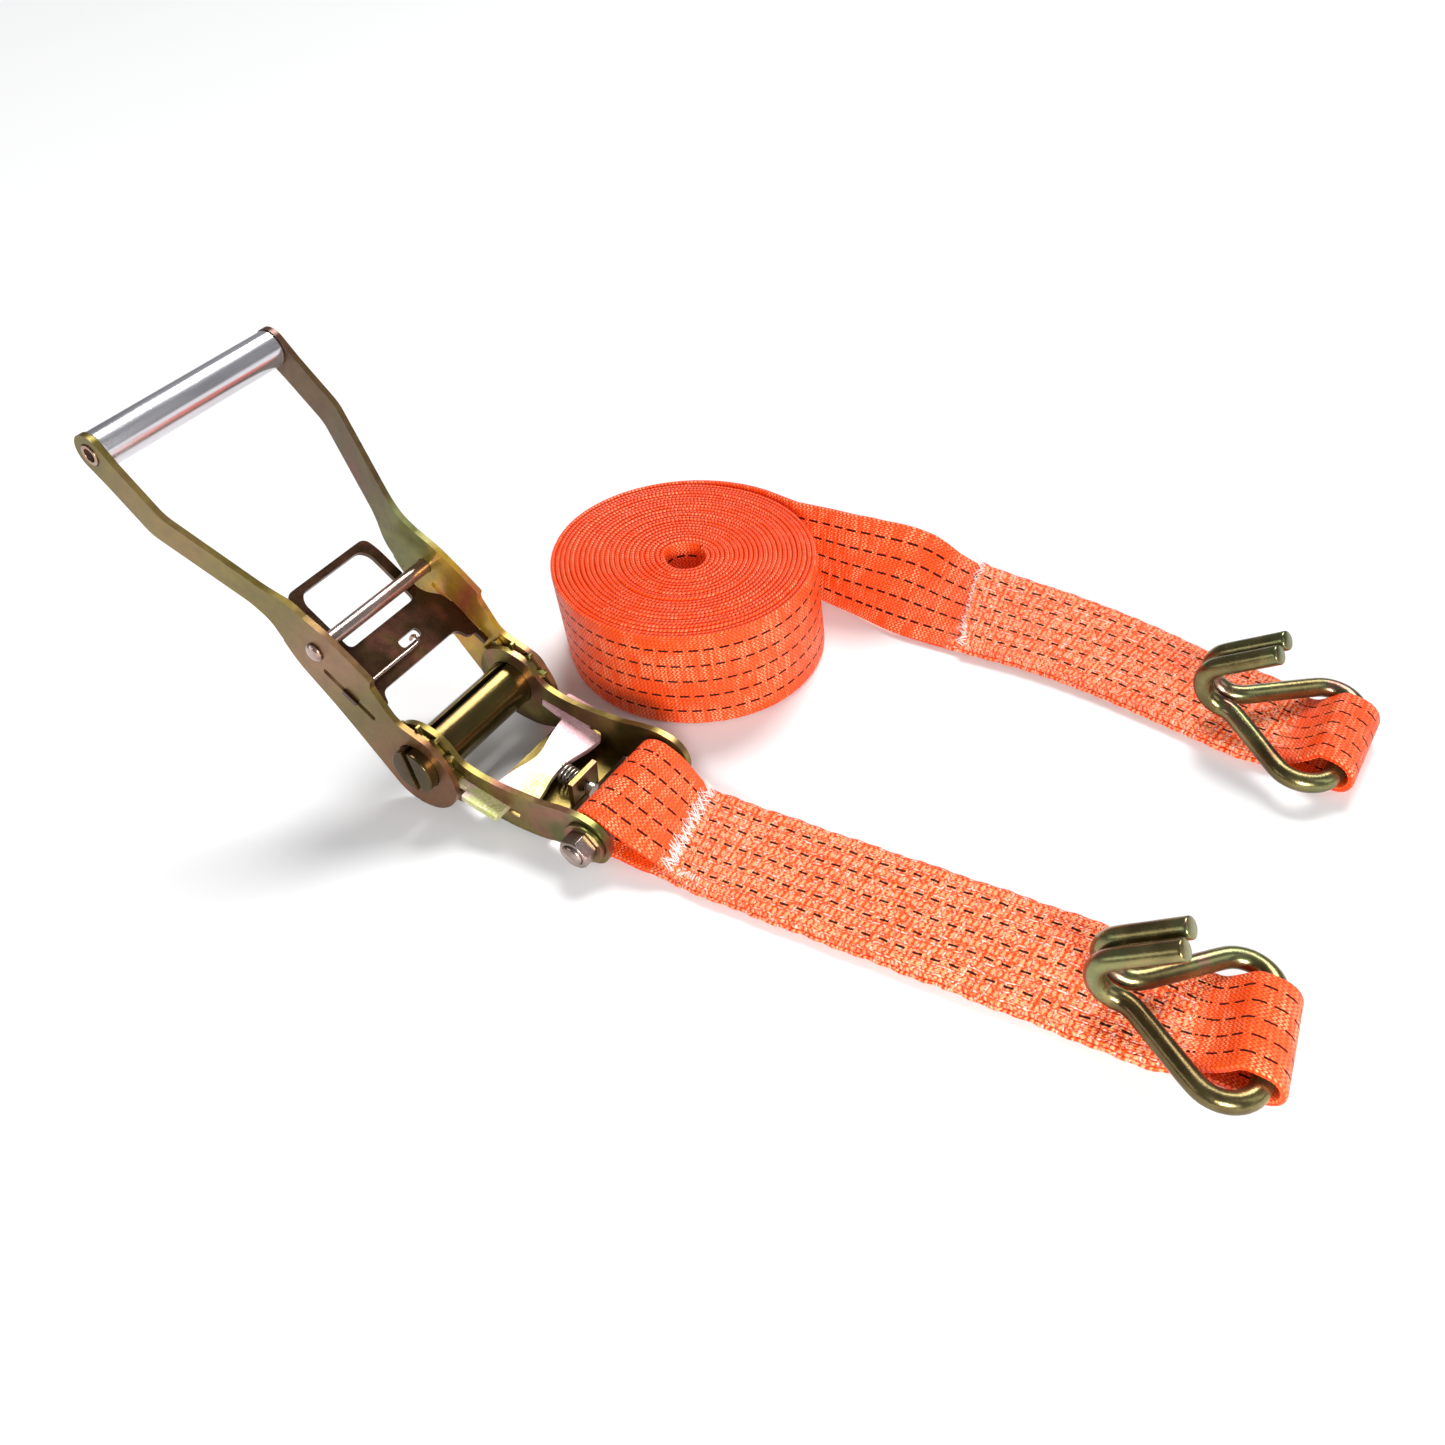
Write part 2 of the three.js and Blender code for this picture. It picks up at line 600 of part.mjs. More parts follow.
// ---------------------------------------------------------------- hooks
function hookWire(place) {
  const side = [];
  side.push([0, 0, 0]);
  side.push([0, HOOK_HALF - HOOK_CORNER, 0]);
  const bend = rad(90 + HOOK_SLOPE);
  for (let i = 1; i <= 7; i += 1) {
    const angle = bend * i / 7;
    side.push([
      -HOOK_CORNER + HOOK_CORNER * Math.cos(angle),
      HOOK_HALF - HOOK_CORNER + HOOK_CORNER * Math.sin(angle), 0,
    ]);
  }
  side.push([-HOOK_NECK + 4, CLAW_SPREAD + 4.6, 0]);
  side.push([-HOOK_NECK + 1, CLAW_SPREAD + 2.2, 0]);
  side.push([-HOOK_NECK - 1.6, CLAW_SPREAD + 0.7, 0]);
  const centre = -HOOK_NECK - 4;
  const sweep = rad(CLAW_SWEEP);
  for (let i = 0; i <= 10; i += 1) {
    const angle = sweep * i / 10;
    side.push([
      centre - CLAW_RADIUS * Math.sin(angle), CLAW_SPREAD, CLAW_RADIUS - CLAW_RADIUS * Math.cos(angle),
    ]);
  }
  const tail = side[side.length - 1];
  side.push([tail[0] - CLAW_ARM * Math.cos(sweep), CLAW_SPREAD, tail[2] + CLAW_ARM * Math.sin(sweep)]);
  const other = side.slice(1).reverse().map(([x, y, z]) => [x, -y, z]);
  return wire([...other, ...side].map(([x, y, z]) => place(x, y, z)), WIRE_RADIUS, 14);
}

function hookPlace(bar, yaw, pitch) {
  const turn = new THREE.Matrix4().makeRotationZ(rad(yaw));
  turn.multiply(new THREE.Matrix4().makeRotationY(rad(pitch)));
  return (x, y, z) => new THREE.Vector3(x, y, z).applyMatrix4(turn).add(new THREE.Vector3(...bar));
}

// ---------------------------------------------------------------- strap loops
// smooth list of [x, z] points through the given ones
function smoothPoints(points, closed, count) {
  const curve = new THREE.CatmullRomCurve3(
    points.map(([x, z]) => new THREE.Vector3(x, 0, z)), closed, 'centripetal');
  const list = curve.getSpacedPoints(count);
  return (closed ? list.slice(0, -1) : list).map((p) => [p.x, p.z]);
}

function arcPoints(cx, cz, radius, from, to, steps) {
  const list = [];
  for (let i = 0; i <= steps; i += 1) {
    const angle = rad(from + (to - from) * i / steps);
    list.push([cx + radius * Math.cos(angle), cz + radius * Math.sin(angle)]);
  }
  return list;
}

function pathNormals(points, closed) {
  const count = points.length;
  return points.map((point, i) => {
    const before = closed ? points[(i + count - 1) % count] : points[Math.max(i - 1, 0)];
    const after = closed ? points[(i + 1) % count] : points[Math.min(i + 1, count - 1)];
    const dx = after[0] - before[0];
    const dz = after[1] - before[1];
    const length = Math.hypot(dx, dz);
    return [-dz / length, dx / length];
  });
}

const LOOP_GATHER = 0.2;        // share of its width the webbing loses around a hook bar
const LOOP_PLAY = 1.5;           // play between a hook bar and its webbing loop
const LAP_SKEW = 0.22;           // slant of the line where the strap's two layers meet by the bolt
const LAYER_LOW = 0.2 + WEB_THICK / 2;
const LAYER_HIGH = LAYER_LOW + WEB_THICK + GAP;

function shortLoopPath() {
  const around = SPACER_RADIUS + 0.5 + WEB_THICK / 2;
  const bar = WIRE_RADIUS + LOOP_PLAY + WEB_THICK / 2;
  const [bx, , bz] = SHORT_BAR;
  return smoothPoints([
    ...arcPoints(0, BOLT_Z, around, 68, 285, 14),
    [14, 3.4], [24, LAYER_LOW + 0.3], [34, LAYER_LOW], [60, LAYER_LOW], [100, LAYER_LOW],
    [140, LAYER_LOW], [180, LAYER_LOW], [215, LAYER_LOW], [235, LAYER_LOW], [247, LAYER_LOW + 0.9],
    ...arcPoints(bx, bz, bar, -96, 90, 10),
    [bx - 6.5, bz + bar], [249.5, 11.4], [243.8, 6.7], [237.5, LAYER_HIGH + 0.1],
    [226, LAYER_HIGH], [210, LAYER_HIGH], [180, LAYER_HIGH], [140, LAYER_HIGH], [100, LAYER_HIGH],
    [60, LAYER_HIGH], [42, LAYER_HIGH], [33, LAYER_HIGH + 0.5], [20, 13.2],
  ], true, 150);
}

function shortStrapSections() {
  const path = shortLoopPath();
  const normals = pathNormals(path, true);
  return path.map(([x, z], i) => {
    const upper = i > path.length / 2;
    const lapSkew = upper ? LAP_SKEW * smoothstep(x, 8, 26) * (1 - smoothstep(x, 36, 75)) : 0;
    const skew = lapSkew + Math.tan(rad(SHORT_BAR_YAW)) * smoothstep(x, 205, 250);
    const drift = SHORT_BAR[1] * smoothstep(x, 12, 235);
    const width = WEB_WIDTH / 2 * (1 - LOOP_GATHER * smoothstep(x, 222, 245));
    return {
      centre: new THREE.Vector3(x, drift, z),
      half: new THREE.Vector3(-skew * width, width, 0),
      normal: new THREE.Vector3(normals[i][0], 0, normals[i][1]).multiplyScalar(WEB_THICK / 2),
    };
  });
}

// ---------------------------------------------------------------- long strap
const TAIL_EDGE = [
  [-19, 171.3], [-5, 167.2], [17, 162.6], [41, 156.6], [64, 155.4], [85, 155.6],
  [104, 155.8], [124, 154.6], [144, 152], [163, 148.5], [182, 144.8], [200, 141.2], [217, 137.8],
  [235, 134.2], [255, 130.2],
];
const TAIL_LEAN = [
  [0, 87], [15, 80], [30, 75], [42, 67], [52, 53], [62, 37], [72, 24], [84, 16], [98, 12],
  [115, 9], [135, 6], [160, 3], [185, 0],
];
const edgeCurve = new THREE.CatmullRomCurve3(
  TAIL_EDGE.map(([x, y]) => new THREE.Vector3(x, y, 0)), false, 'centripetal');
edgeCurve.arcLengthDivisions = 600;
const EDGE_LENGTH = edgeCurve.getLength();

function leanAt(s) {
  const index = TAIL_LEAN.findIndex(([at]) => at > s);
  if (index <= 0) {
    return index === 0 ? TAIL_LEAN[0][1] : TAIL_LEAN[TAIL_LEAN.length - 1][1];
  }
  const [s0, a0] = TAIL_LEAN[index - 1];
  const [s1, a1] = TAIL_LEAN[index];
  return THREE.MathUtils.lerp(a0, a1, (s - s0) / (s1 - s0));
}

// s along the strap's lower edge, w across from the middle, h above its underside
function onTail(s, w, h) {
  const part = THREE.MathUtils.clamp(s / EDGE_LENGTH, 0, 1);
  const base = edgeCurve.getPointAt(part);
  const along = edgeCurve.getTangentAt(part);
  const level = new THREE.Vector3(-along.y, along.x, 0).normalize();
  const lean = rad(leanAt(s));
  const across = level.clone().multiplyScalar(Math.cos(lean)).setZ(Math.sin(lean));
  const out = level.clone().multiplyScalar(-Math.sin(lean)).setZ(Math.cos(lean));
  return base.addScaledVector(along, Math.max(s - EDGE_LENGTH, 0))
    .addScaledVector(across, w + WEB_WIDTH / 2).addScaledVector(out, h);
}

const LONG_LAP = 88;             // where the sewn overlap starts along the tail
const LONG_BAR = 262;            // where the hook bar sits along the tail
const LONG_BAR_HEIGHT = 9;
const LONG_BAR_OFFSET = -0.8;    // bar centre from the middle of the webbing
const LONG_SHEAR = Math.tan(rad(12));

function longStrapSections() {
  const bar = WIRE_RADIUS + LOOP_PLAY + WEB_THICK / 2;
  const b = LONG_BAR;
  const path = smoothPoints([
    [0, LAYER_LOW], [20, LAYER_LOW], [40, LAYER_LOW], [60, LAYER_LOW], [90, LAYER_LOW],
    [120, LAYER_LOW], [150, LAYER_LOW], [180, LAYER_LOW], [210, LAYER_LOW], [b - 26, LAYER_LOW],
    [b - 14, LAYER_LOW + 0.9],
    ...arcPoints(b, LONG_BAR_HEIGHT, bar, -96, 90, 10),
    [b - 6.5, LONG_BAR_HEIGHT + bar], [b - 11.5, 11.4], [b - 17.2, 6.7], [b - 23.5, LAYER_HIGH + 0.1],
    [b - 35, LAYER_HIGH], [210, LAYER_HIGH], [180, LAYER_HIGH],
    [150, LAYER_HIGH], [LONG_LAP, LAYER_HIGH],
  ], false, 150);
  const normals = pathNormals(path, false);
  return path.map(([s, h], i) => {
    const shear = LONG_SHEAR * smoothstep(s, b - 56, b - 11);
    const width = WEB_WIDTH / 2 * (1 - LOOP_GATHER * smoothstep(s, b - 39, b - 16));
    const near = onTail(s + shear * width, -width, h);
    const far = onTail(s - shear * width, width, h);
    const step = 0.05;
    const inner = onTail(s - normals[i][0] * step, 0, h - normals[i][1] * step);
    const outer = onTail(s + normals[i][0] * step, 0, h + normals[i][1] * step);
    return {
      centre: near.clone().add(far).multiplyScalar(0.5),
      half: far.clone().sub(near).multiplyScalar(0.5),
      normal: outer.sub(inner).normalize().multiplyScalar(WEB_THICK / 2),
    };
  });
}

function buildCoil() {
  const shape = new THREE.Shape();
  shape.absellipse(0, 0, COIL_AXES[0], COIL_AXES[1], 0, Math.PI * 2, false, rad(COIL_TURN));
  const hole = new THREE.Path();
  hole.absellipse(0, 0, COIL_HOLE[0], COIL_HOLE[1], 0, Math.PI * 2, true, rad(COIL_TURN));
  shape.holes.push(hole);
  const geometry = new THREE.ExtrudeGeometry(shape, { depth: WEB_WIDTH, bevelEnabled: false, curveSegments: 36 });
  return geometry.translate(COIL_CENTRE[0], COIL_CENTRE[1], 0);
}

// ---------------------------------------------------------------- assembly
addPart('base_frame', buildFrame(), zinc);
addPart('lock_pawl', buildLockPawl(), zinc);

const springStart = lockPoint(48.7, 0);
addPart('lock_spring', helix(springStart, lockAlong, 5, 10.3, 4.2, 0.6, 14), steel);

const pinLength = 11;
const pinProfile = [[0, 0], [2, 0], [2, pinLength - 2.6], [3.4, pinLength - 2.6], [3.4, pinLength], [0, pinLength]];
const seatPin = new THREE.LatheGeometry(pinProfile.map(([r, y]) => new THREE.Vector2(r, y)), 16);
const seatPinStart = lockPoint(55.4, 0);
seatPin.applyMatrix4(basis(Y, lockAlong, new THREE.Vector3().crossVectors(Y, lockAlong), seatPinStart));
addPart('lock_spring_pin', seatPin, steel);

addPart('drum_half_rear', buildDrumHalf(1), zinc);
addPart('drum_half_front', buildDrumHalf(-1), zinc);
addPart('ratchet_wheel_left', framePlate(wheelShape(), -WHEEL_OUTER, -WHEEL_INNER, 12), zinc);
addPart('ratchet_wheel_right', framePlate(wheelShape(), WHEEL_INNER, WHEEL_OUTER, 12), zinc);

addPart('handle_arm_left', buildArm(-1), zinc);
addPart('handle_arm_right', buildArm(1), zinc);
const gripInside = GRIP_HALF - PLATE - GAP;
addPart('grip_sleeve', tubeAcross(GRIP_RADIUS, CORE_RADIUS + GAP, -gripInside, gripInside, gripPoint, 32), aluminium);
addPart('grip_core', tubeAcross(CORE_RADIUS, CORE_BORE, -GRIP_HALF - 0.6, GRIP_HALF + 0.6, gripPoint, 24), steel);

const rivet = ARM_OUTER + GAP;
addPart('cross_pin', turnedPart([
  [0, -rivet - 2], [3.2, -rivet - 1.8], [RIVET_RADIUS, -rivet - 0.7], [RIVET_RADIUS, -rivet],
  [PIN_RADIUS, -rivet], [PIN_RADIUS, rivet], [RIVET_RADIUS, rivet], [RIVET_RADIUS, rivet + 0.7],
  [3.2, rivet + 1.8], [0, rivet + 2],
], pinPoint), steel);
addPart('drive_pawl', buildDrivePawl(), zinc);

const springLift = DRIVE_THICK / 2 + 1.2;
const springBend = [
  [40, -31.6, springLift], [40, -8, springLift], [40, 3, springLift], [40.4, 5, springLift],
  [42, 6, springLift], [43.4, 6, springLift - 0.8], [44.2, 6, 0], [44.2, 6, -3.2],
].map(([along, y, lift]) => drivePoint(along, y, lift));
addPart('drive_spring', wire(springBend, 0.9, 8), steel);

const washerLow = FRAME_OUTER + GAP;
const washerOuter = washerLow + WASHER_THICK;
const headLow = washerOuter + GAP;
addPart('frame_bolt', turnedPart([
  [0, -washerOuter - STUD_LENGTH], [BOLT_RADIUS - 0.8, -washerOuter - STUD_LENGTH],
  [BOLT_RADIUS, -washerOuter - STUD_LENGTH + 0.8], [BOLT_RADIUS, headLow], [DOME_RADIUS, headLow],
  [DOME_RADIUS, headLow + 0.7], [DOME_RADIUS - 1, headLow + 1.6], [DOME_RADIUS - 3, headLow + 2.2],
  [0, headLow + DOME_HEIGHT],
], boltPoint, 32), steel);
addPart('bolt_nut', buildNut(-headLow - NUT_HEIGHT, -headLow), steel);
addPart('bolt_washer_left', tubeAcross(WASHER_LEFT, BOLT_RADIUS + GAP, -washerOuter, -washerLow, boltPoint), steel);
addPart('bolt_washer_right', tubeAcross(WASHER_RIGHT, BOLT_RADIUS + GAP, washerLow, washerOuter, boltPoint), steel);
const spacerHalf = FRAME_INNER - GAP;
addPart('bolt_spacer', tubeAcross(SPACER_RADIUS, BOLT_RADIUS + GAP, -spacerHalf, spacerHalf, boltPoint), steel);

addPart('short_strap', strip(shortStrapSections(), true), webbing);
addPart('short_hook', hookWire(hookPlace(SHORT_BAR, SHORT_BAR_YAW, SHORT_BAR_PITCH)), bronze);

const longBarPoint = onTail(LONG_BAR, LONG_BAR_OFFSET, LONG_BAR_HEIGHT);
addPart('long_strap_coil', buildCoil(), webbing);
addPart('long_strap_tail', strip(longStrapSections(), false), webbing);
addPart('long_hook', hookWire(hookPlace(longBarPoint.toArray(), LONG_BAR_YAW, LONG_BAR_PITCH)), bronze);

// ---------------------------------------------------------------- origin at the middle of the footprint
const bounds = new THREE.Box3().setFromObject(group);
const middle = bounds.getCenter(new THREE.Vector3());
group.children.forEach((mesh) => mesh.geometry.translate(-middle.x, -middle.y, -bounds.min.z));

export default group;
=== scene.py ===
import json
import math
import random

import bmesh
import bpy
from mathutils import Matrix, Vector, noise

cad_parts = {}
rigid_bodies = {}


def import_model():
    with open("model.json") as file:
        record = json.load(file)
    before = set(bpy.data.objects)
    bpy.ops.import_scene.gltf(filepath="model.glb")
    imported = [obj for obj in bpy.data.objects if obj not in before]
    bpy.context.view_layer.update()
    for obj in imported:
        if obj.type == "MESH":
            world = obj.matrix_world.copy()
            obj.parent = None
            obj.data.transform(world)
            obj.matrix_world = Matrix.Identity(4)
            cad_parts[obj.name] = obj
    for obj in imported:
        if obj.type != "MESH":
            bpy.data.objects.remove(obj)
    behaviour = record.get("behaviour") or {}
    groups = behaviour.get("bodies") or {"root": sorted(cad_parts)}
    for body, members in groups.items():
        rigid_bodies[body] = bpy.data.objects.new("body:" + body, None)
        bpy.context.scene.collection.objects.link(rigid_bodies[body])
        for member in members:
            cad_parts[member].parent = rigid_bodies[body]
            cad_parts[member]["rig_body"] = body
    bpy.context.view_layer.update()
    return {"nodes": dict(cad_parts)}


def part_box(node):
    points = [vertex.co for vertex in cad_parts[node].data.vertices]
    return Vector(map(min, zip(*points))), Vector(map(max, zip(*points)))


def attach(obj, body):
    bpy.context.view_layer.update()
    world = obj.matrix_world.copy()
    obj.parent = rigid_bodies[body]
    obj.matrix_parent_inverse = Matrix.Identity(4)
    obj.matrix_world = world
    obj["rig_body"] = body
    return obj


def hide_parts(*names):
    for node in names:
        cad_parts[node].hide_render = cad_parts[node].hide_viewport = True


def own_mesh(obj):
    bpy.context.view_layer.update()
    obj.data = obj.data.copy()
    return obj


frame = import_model()
nodes = frame["nodes"]
MM = 0.001


def middle(node):
    """The centre of a CAD node's box, in metres."""
    low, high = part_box(node)
    return (Vector(low) + Vector(high)) / 2


# Layout, in millimetres from the ground point under the frame bolt.
GROUND = Vector((middle("bolt_spacer").x, middle("bolt_spacer").y, 0))
BOLT_Z = 13
DRUM = (-84.4, 0, 24.8)
HANDLE_RISE = math.radians(48.6)
FRAME_TILT = math.atan2(BOLT_Z - DRUM[2], -DRUM[0])


def place(x, y, z):
    """A point in millimetres from the frame bolt, as a point in the shared frame."""
    return GROUND + Vector((x, y, z)) * MM


# ------------------------------------------------------------------ camera
CAMERA_SPOT = (300.1, -288.8, 400.9)
CAMERA_FORWARD = (-0.487699, 0.579620, -0.652833)
CAMERA_UP = (-0.286409, 0.600177, 0.746831)
CAMERA_LENS = 33.8


def make_camera():
    data = bpy.data.cameras.new("camera")
    data.sensor_width = 36
    data.lens = CAMERA_LENS
    camera = bpy.data.objects.new("camera", data)
    bpy.context.scene.collection.objects.link(camera)
    forward = Vector(CAMERA_FORWARD).normalized()
    up = Vector(CAMERA_UP)
    side = forward.cross(up).normalized()
    up = side.cross(forward)
    turn = Matrix((side, up, -forward)).transposed()
    camera.matrix_world = Matrix.Translation(place(*CAMERA_SPOT)) @ turn.to_4x4()
    bpy.context.scene.camera = camera


make_camera()


# ------------------------------------------------------------------ node materials
class Surface:
    """A node material with short calls for the nodes used here."""

    def __init__(self, name, **sockets):
        self.material = bpy.data.materials.new(name)
        self.material.use_nodes = True
        self.tree = self.material.node_tree
        self.tree.nodes.clear()
        self.shader = self.tree.nodes.new("ShaderNodeBsdfPrincipled")
        output = self.tree.nodes.new("ShaderNodeOutputMaterial")
        self.tree.links.new(self.shader.outputs[0], output.inputs[0])
        for label, value in sockets.items():
            self.shader.inputs[label.replace("_", " ")].default_value = value

    def feed(self, socket, value):
        if hasattr(value, "is_linked"):
            self.tree.links.new(value, socket)
        else:
            socket.default_value = value

    def set(self, label, value):
        self.feed(self.shader.inputs[label], value)

    def math(self, operation, a, b=0.0, c=0.0):
        node = self.tree.nodes.new("ShaderNodeMath")
        node.operation = operation
        for socket, value in zip(node.inputs, (a, b, c)):
            self.feed(socket, value)
        return node.outputs[0]

    def mix(self, factor, a, b):
        node = self.tree.nodes.new("ShaderNodeMix")
        node.data_type = "RGBA"
        self.feed(node.inputs["Factor"], factor)
        self.feed(node.inputs[6], a)
        self.feed(node.inputs[7], b)
        return node.outputs[2]

    def coordinates(self, seed=0, stretch=(1, 1, 1)):
        source = self.tree.nodes.new("ShaderNodeTexCoord")
        mapping = self.tree.nodes.new("ShaderNodeMapping")
        mapping.inputs["Location"].default_value = (seed * 1.7, seed * 0.9, seed * 2.3)
        mapping.inputs["Scale"].default_value = stretch
        self.tree.links.new(source.outputs["Object"], mapping.inputs[0])
        return mapping.outputs[0]

    def stretched(self, source, scale):
        mapping = self.tree.nodes.new("ShaderNodeMapping")
        mapping.inputs["Scale"].default_value = scale
        self.tree.links.new(source, mapping.inputs[0])
        return mapping.outputs[0]

    def reach(self, origin, direction):
        """Distance in metres from a point along a direction."""
        source = self.tree.nodes.new("ShaderNodeTexCoord")
        dot = self.tree.nodes.new("ShaderNodeVectorMath")
        dot.operation = "DOT_PRODUCT"
        self.tree.links.new(source.outputs["Object"], dot.inputs[0])
        dot.inputs[1].default_value = direction
        return self.math("SUBTRACT", dot.outputs["Value"], origin.dot(direction))

    def noise(self, where, scale, detail=3.0, roughness=0.5, distortion=0.0):
        node = self.tree.nodes.new("ShaderNodeTexNoise")
        self.feed(node.inputs["Vector"], where)
        node.inputs["Scale"].default_value = scale
        node.inputs["Detail"].default_value = detail
        node.inputs["Roughness"].default_value = roughness
        node.inputs["Distortion"].default_value = distortion
        return node.outputs[0]

    def ramp(self, factor, stops):
        node = self.tree.nodes.new("ShaderNodeValToRGB")
        self.feed(node.inputs[0], factor)
        marks = node.color_ramp.elements
        while len(marks) < len(stops):
            marks.new(0.5)
        for mark, (position, colour) in zip(marks, stops):
            mark.position = position
            mark.color = (*colour, 1)
        return node.outputs[0]

    def steps(self, value, low, high):
        """0 below low, 1 above high."""
        node = self.tree.nodes.new("ShaderNodeMapRange")
        node.interpolation_type = "SMOOTHSTEP"
        self.feed(node.inputs["Value"], value)
        node.inputs["From Min"].default_value = low
        node.inputs["From Max"].default_value = high
        return node.outputs[0]

    def bump(self, height, distance):
        node = self.tree.nodes.new("ShaderNodeBump")
        node.inputs["Strength"].default_value = 1.0
        node.inputs["Distance"].default_value = distance
        self.feed(node.inputs["Height"], height)
        self.tree.links.new(node.outputs[0], self.shader.inputs["Normal"])


FLECK = (0.8, 0.6, 0.62, 1)


def plated(name, stops, seed, patch, rough, speckle=0.0, grit=0.00004, stretch=(1, 1, 1),
           along=None, metallic=0.88):
    """Yellow zinc plate: slow patches of tint, faint cloudiness, fine grit and optional flecks.

    along is (origin, direction, length, stops): a second tint that changes along the part."""
    s = Surface(name, Metallic=metallic)
    where = s.coordinates(seed, stretch)
    tint = s.noise(where, patch, 2.5, 0.5, 0.6)
    colour = s.ramp(s.steps(tint, 0.28, 0.72), stops)
    if along:
        origin, direction, length, marks = along
        wander = s.math("MULTIPLY", s.math("SUBTRACT", s.noise(where, 45, 3, 0.6, 0.8), 0.5), 0.03)
        reach = s.math("DIVIDE", s.math("ADD", s.reach(origin, direction), wander), length)
        colour = s.mix(0.74, colour, s.ramp(reach, marks))
    grain = s.noise(where, 1500, 2, 0.6)
    cloud = s.noise(where, 160, 4, 0.65)
    level = s.math("MULTIPLY_ADD", cloud, 0.9, 0.55)
    dull = s.tree.nodes.new("ShaderNodeVectorMath")
    dull.operation = "SCALE"
    s.feed(dull.inputs[0], colour)
    s.feed(dull.inputs["Scale"], level)
    colour = dull.outputs[0]
    if speckle:
        fleck = s.steps(s.noise(where, 1100, 2, 0.7), 0.5, 0.62)
        colour = s.mix(s.math("MULTIPLY", fleck, speckle), colour, FLECK)
    s.set("Base Color", colour)
    s.set("Roughness", s.math("MULTIPLY_ADD", cloud, 0.22, rough - 0.1))
    s.bump(s.math("ADD", grain, s.math("MULTIPLY", cloud, 2.0)), grit)
    return s.material


OLIVE = (0.150, 0.108, 0.026)
KHAKI = (0.225, 0.172, 0.046)
MOSS = (0.140, 0.155, 0.038)
ROSE = (0.270, 0.120, 0.075)
COPPER = (0.260, 0.100, 0.055)
YELLOW = (0.52, 0.29, 0.012)
MAROON = (0.075, 0.026, 0.018)
BROWN = (0.080, 0.045, 0.018)
SILVER_ROSE = (0.42, 0.32, 0.29)

handle_along = Vector((-math.cos(HANDLE_RISE), 0, math.sin(HANDLE_RISE)))
ARM_BEHIND = 0.026
ARM_SPAN = 0.215
arm_start = place(*DRUM) - handle_along * ARM_BEHIND

arm_left_metal = plated(
    "plated_arm_left", [(0.0, ROSE), (0.3, KHAKI), (0.55, OLIVE), (0.75, MOSS), (1.0, ROSE)], 3, 16, 0.36,
    along=(arm_start, handle_along, ARM_SPAN, [
        (0.0, COPPER), (0.14, COPPER), (0.26, OLIVE), (0.38, (0.27, 0.15, 0.075)), (0.52, OLIVE),
        (0.75, KHAKI), (1.0, OLIVE)]))
arm_right_metal = plated(
    "plated_arm_right", [(0.0, BROWN), (0.35, OLIVE), (0.6, KHAKI), (0.8, MOSS), (1.0, COPPER)], 5, 26, 0.3,
    metallic=0.5, along=(arm_start, handle_along, ARM_SPAN, [
        (0.0, OLIVE), (0.14, COPPER), (0.23, YELLOW), (0.31, (0.46, 0.10, 0.045)), (0.38, YELLOW),
        (0.47, MOSS), (0.6, BROWN), (0.82, MAROON), (1.0, MAROON)]))
frame_metal = plated(
    "plated_frame", [(0.0, BROWN), (0.35, OLIVE), (0.6, KHAKI), (0.85, ROSE), (1.0, MOSS)], 8, 24, 0.32)
wheel_metal = plated(
    "plated_wheel", [(0.0, OLIVE), (0.4, KHAKI), (0.7, MOSS), (1.0, ROSE)], 11, 30, 0.28)
drum_metal = plated(
    "plated_drum", [(0.0, BROWN), (0.4, (0.11, 0.08, 0.025)), (0.75, OLIVE), (1.0, COPPER)], 13, 14, 0.17,
    stretch=(1, 0.2, 1))
pawl_metal = plated(
    "plated_drive_pawl", [(0.0, MAROON), (0.55, BROWN), (0.8, (0.2, 0.08, 0.05)), (1.0, OLIVE)], 17, 22, 0.27)
lock_metal = plated(
    "plated_lock_pawl", [(0.0, (0.62, 0.34, 0.37)), (0.5, (0.64, 0.44, 0.43)), (0.72, (0.50, 0.50, 0.22)),
                         (1.0, (0.38, 0.44, 0.08))], 19, 34, 0.5, speckle=0.6, metallic=0.45)
hook_metal = plated(
    "plated_hook", [(0.0, BROWN), (0.35, (0.12, 0.098, 0.038)), (0.6, (0.19, 0.155, 0.062)),
                    (0.85, (0.15, 0.16, 0.068)), (1.0, (0.23, 0.12, 0.085))], 23, 30, 0.24)
bolt_metal = plated(
    "plated_bolt", [(0.0, (0.16, 0.115, 0.09)), (0.5, (0.34, 0.27, 0.235)), (1.0, (0.44, 0.28, 0.25))],
    29, 60, 0.2)
pin_metal = plated(
    "plated_pin", [(0.0, (0.24, 0.18, 0.12)), (0.5, SILVER_ROSE), (1.0, (0.40, 0.21, 0.13))],
    31, 30, 0.2, stretch=(1, 0.3, 1))
spring_metal = plated("spring_steel", [(0.0, (0.26, 0.24, 0.2)), (1.0, (0.5, 0.46, 0.4))], 37, 60, 0.26)
grip_metal = plated(
    "drawn_aluminium", [(0.0, (0.62, 0.60, 0.63)), (0.5, (0.74, 0.74, 0.78)), (1.0, (0.68, 0.60, 0.63))],
    41, 12, 0.2, grit=0.00001, stretch=(1, 0.06, 1))

# Painted shade colour for the gaps between the webbing's crosswise ribs.
WEB_GAP_SHADE = (0.36, 0.009, 0.001, 1)
# Painted shade colour for the hollows between yarns.
WEB_SHADED_RED = (0.76, 0.032, 0.001, 1)
WEB_ORANGE = (0.96, 0.088, 0.003, 1)
# Painted highlight colour, a peach sheen on the yarn tops and raised bars.
WEB_HIGHLIGHT = (1.0, 0.48, 0.23, 1)
THREAD_BLACK = (0.012, 0.004, 0.004, 1)
THREAD_WHITE = (1.0, 0.74, 0.62, 1)
YARN = 0.00104
RIB = 0.0019
MARKER_PITCH = 0.0086
DASH_PITCH = 0.0066
STITCH_PITCH = 0.0043
CROSS_STITCH_PITCH = 0.0050
QUILT = (0.0025, 0.0043)


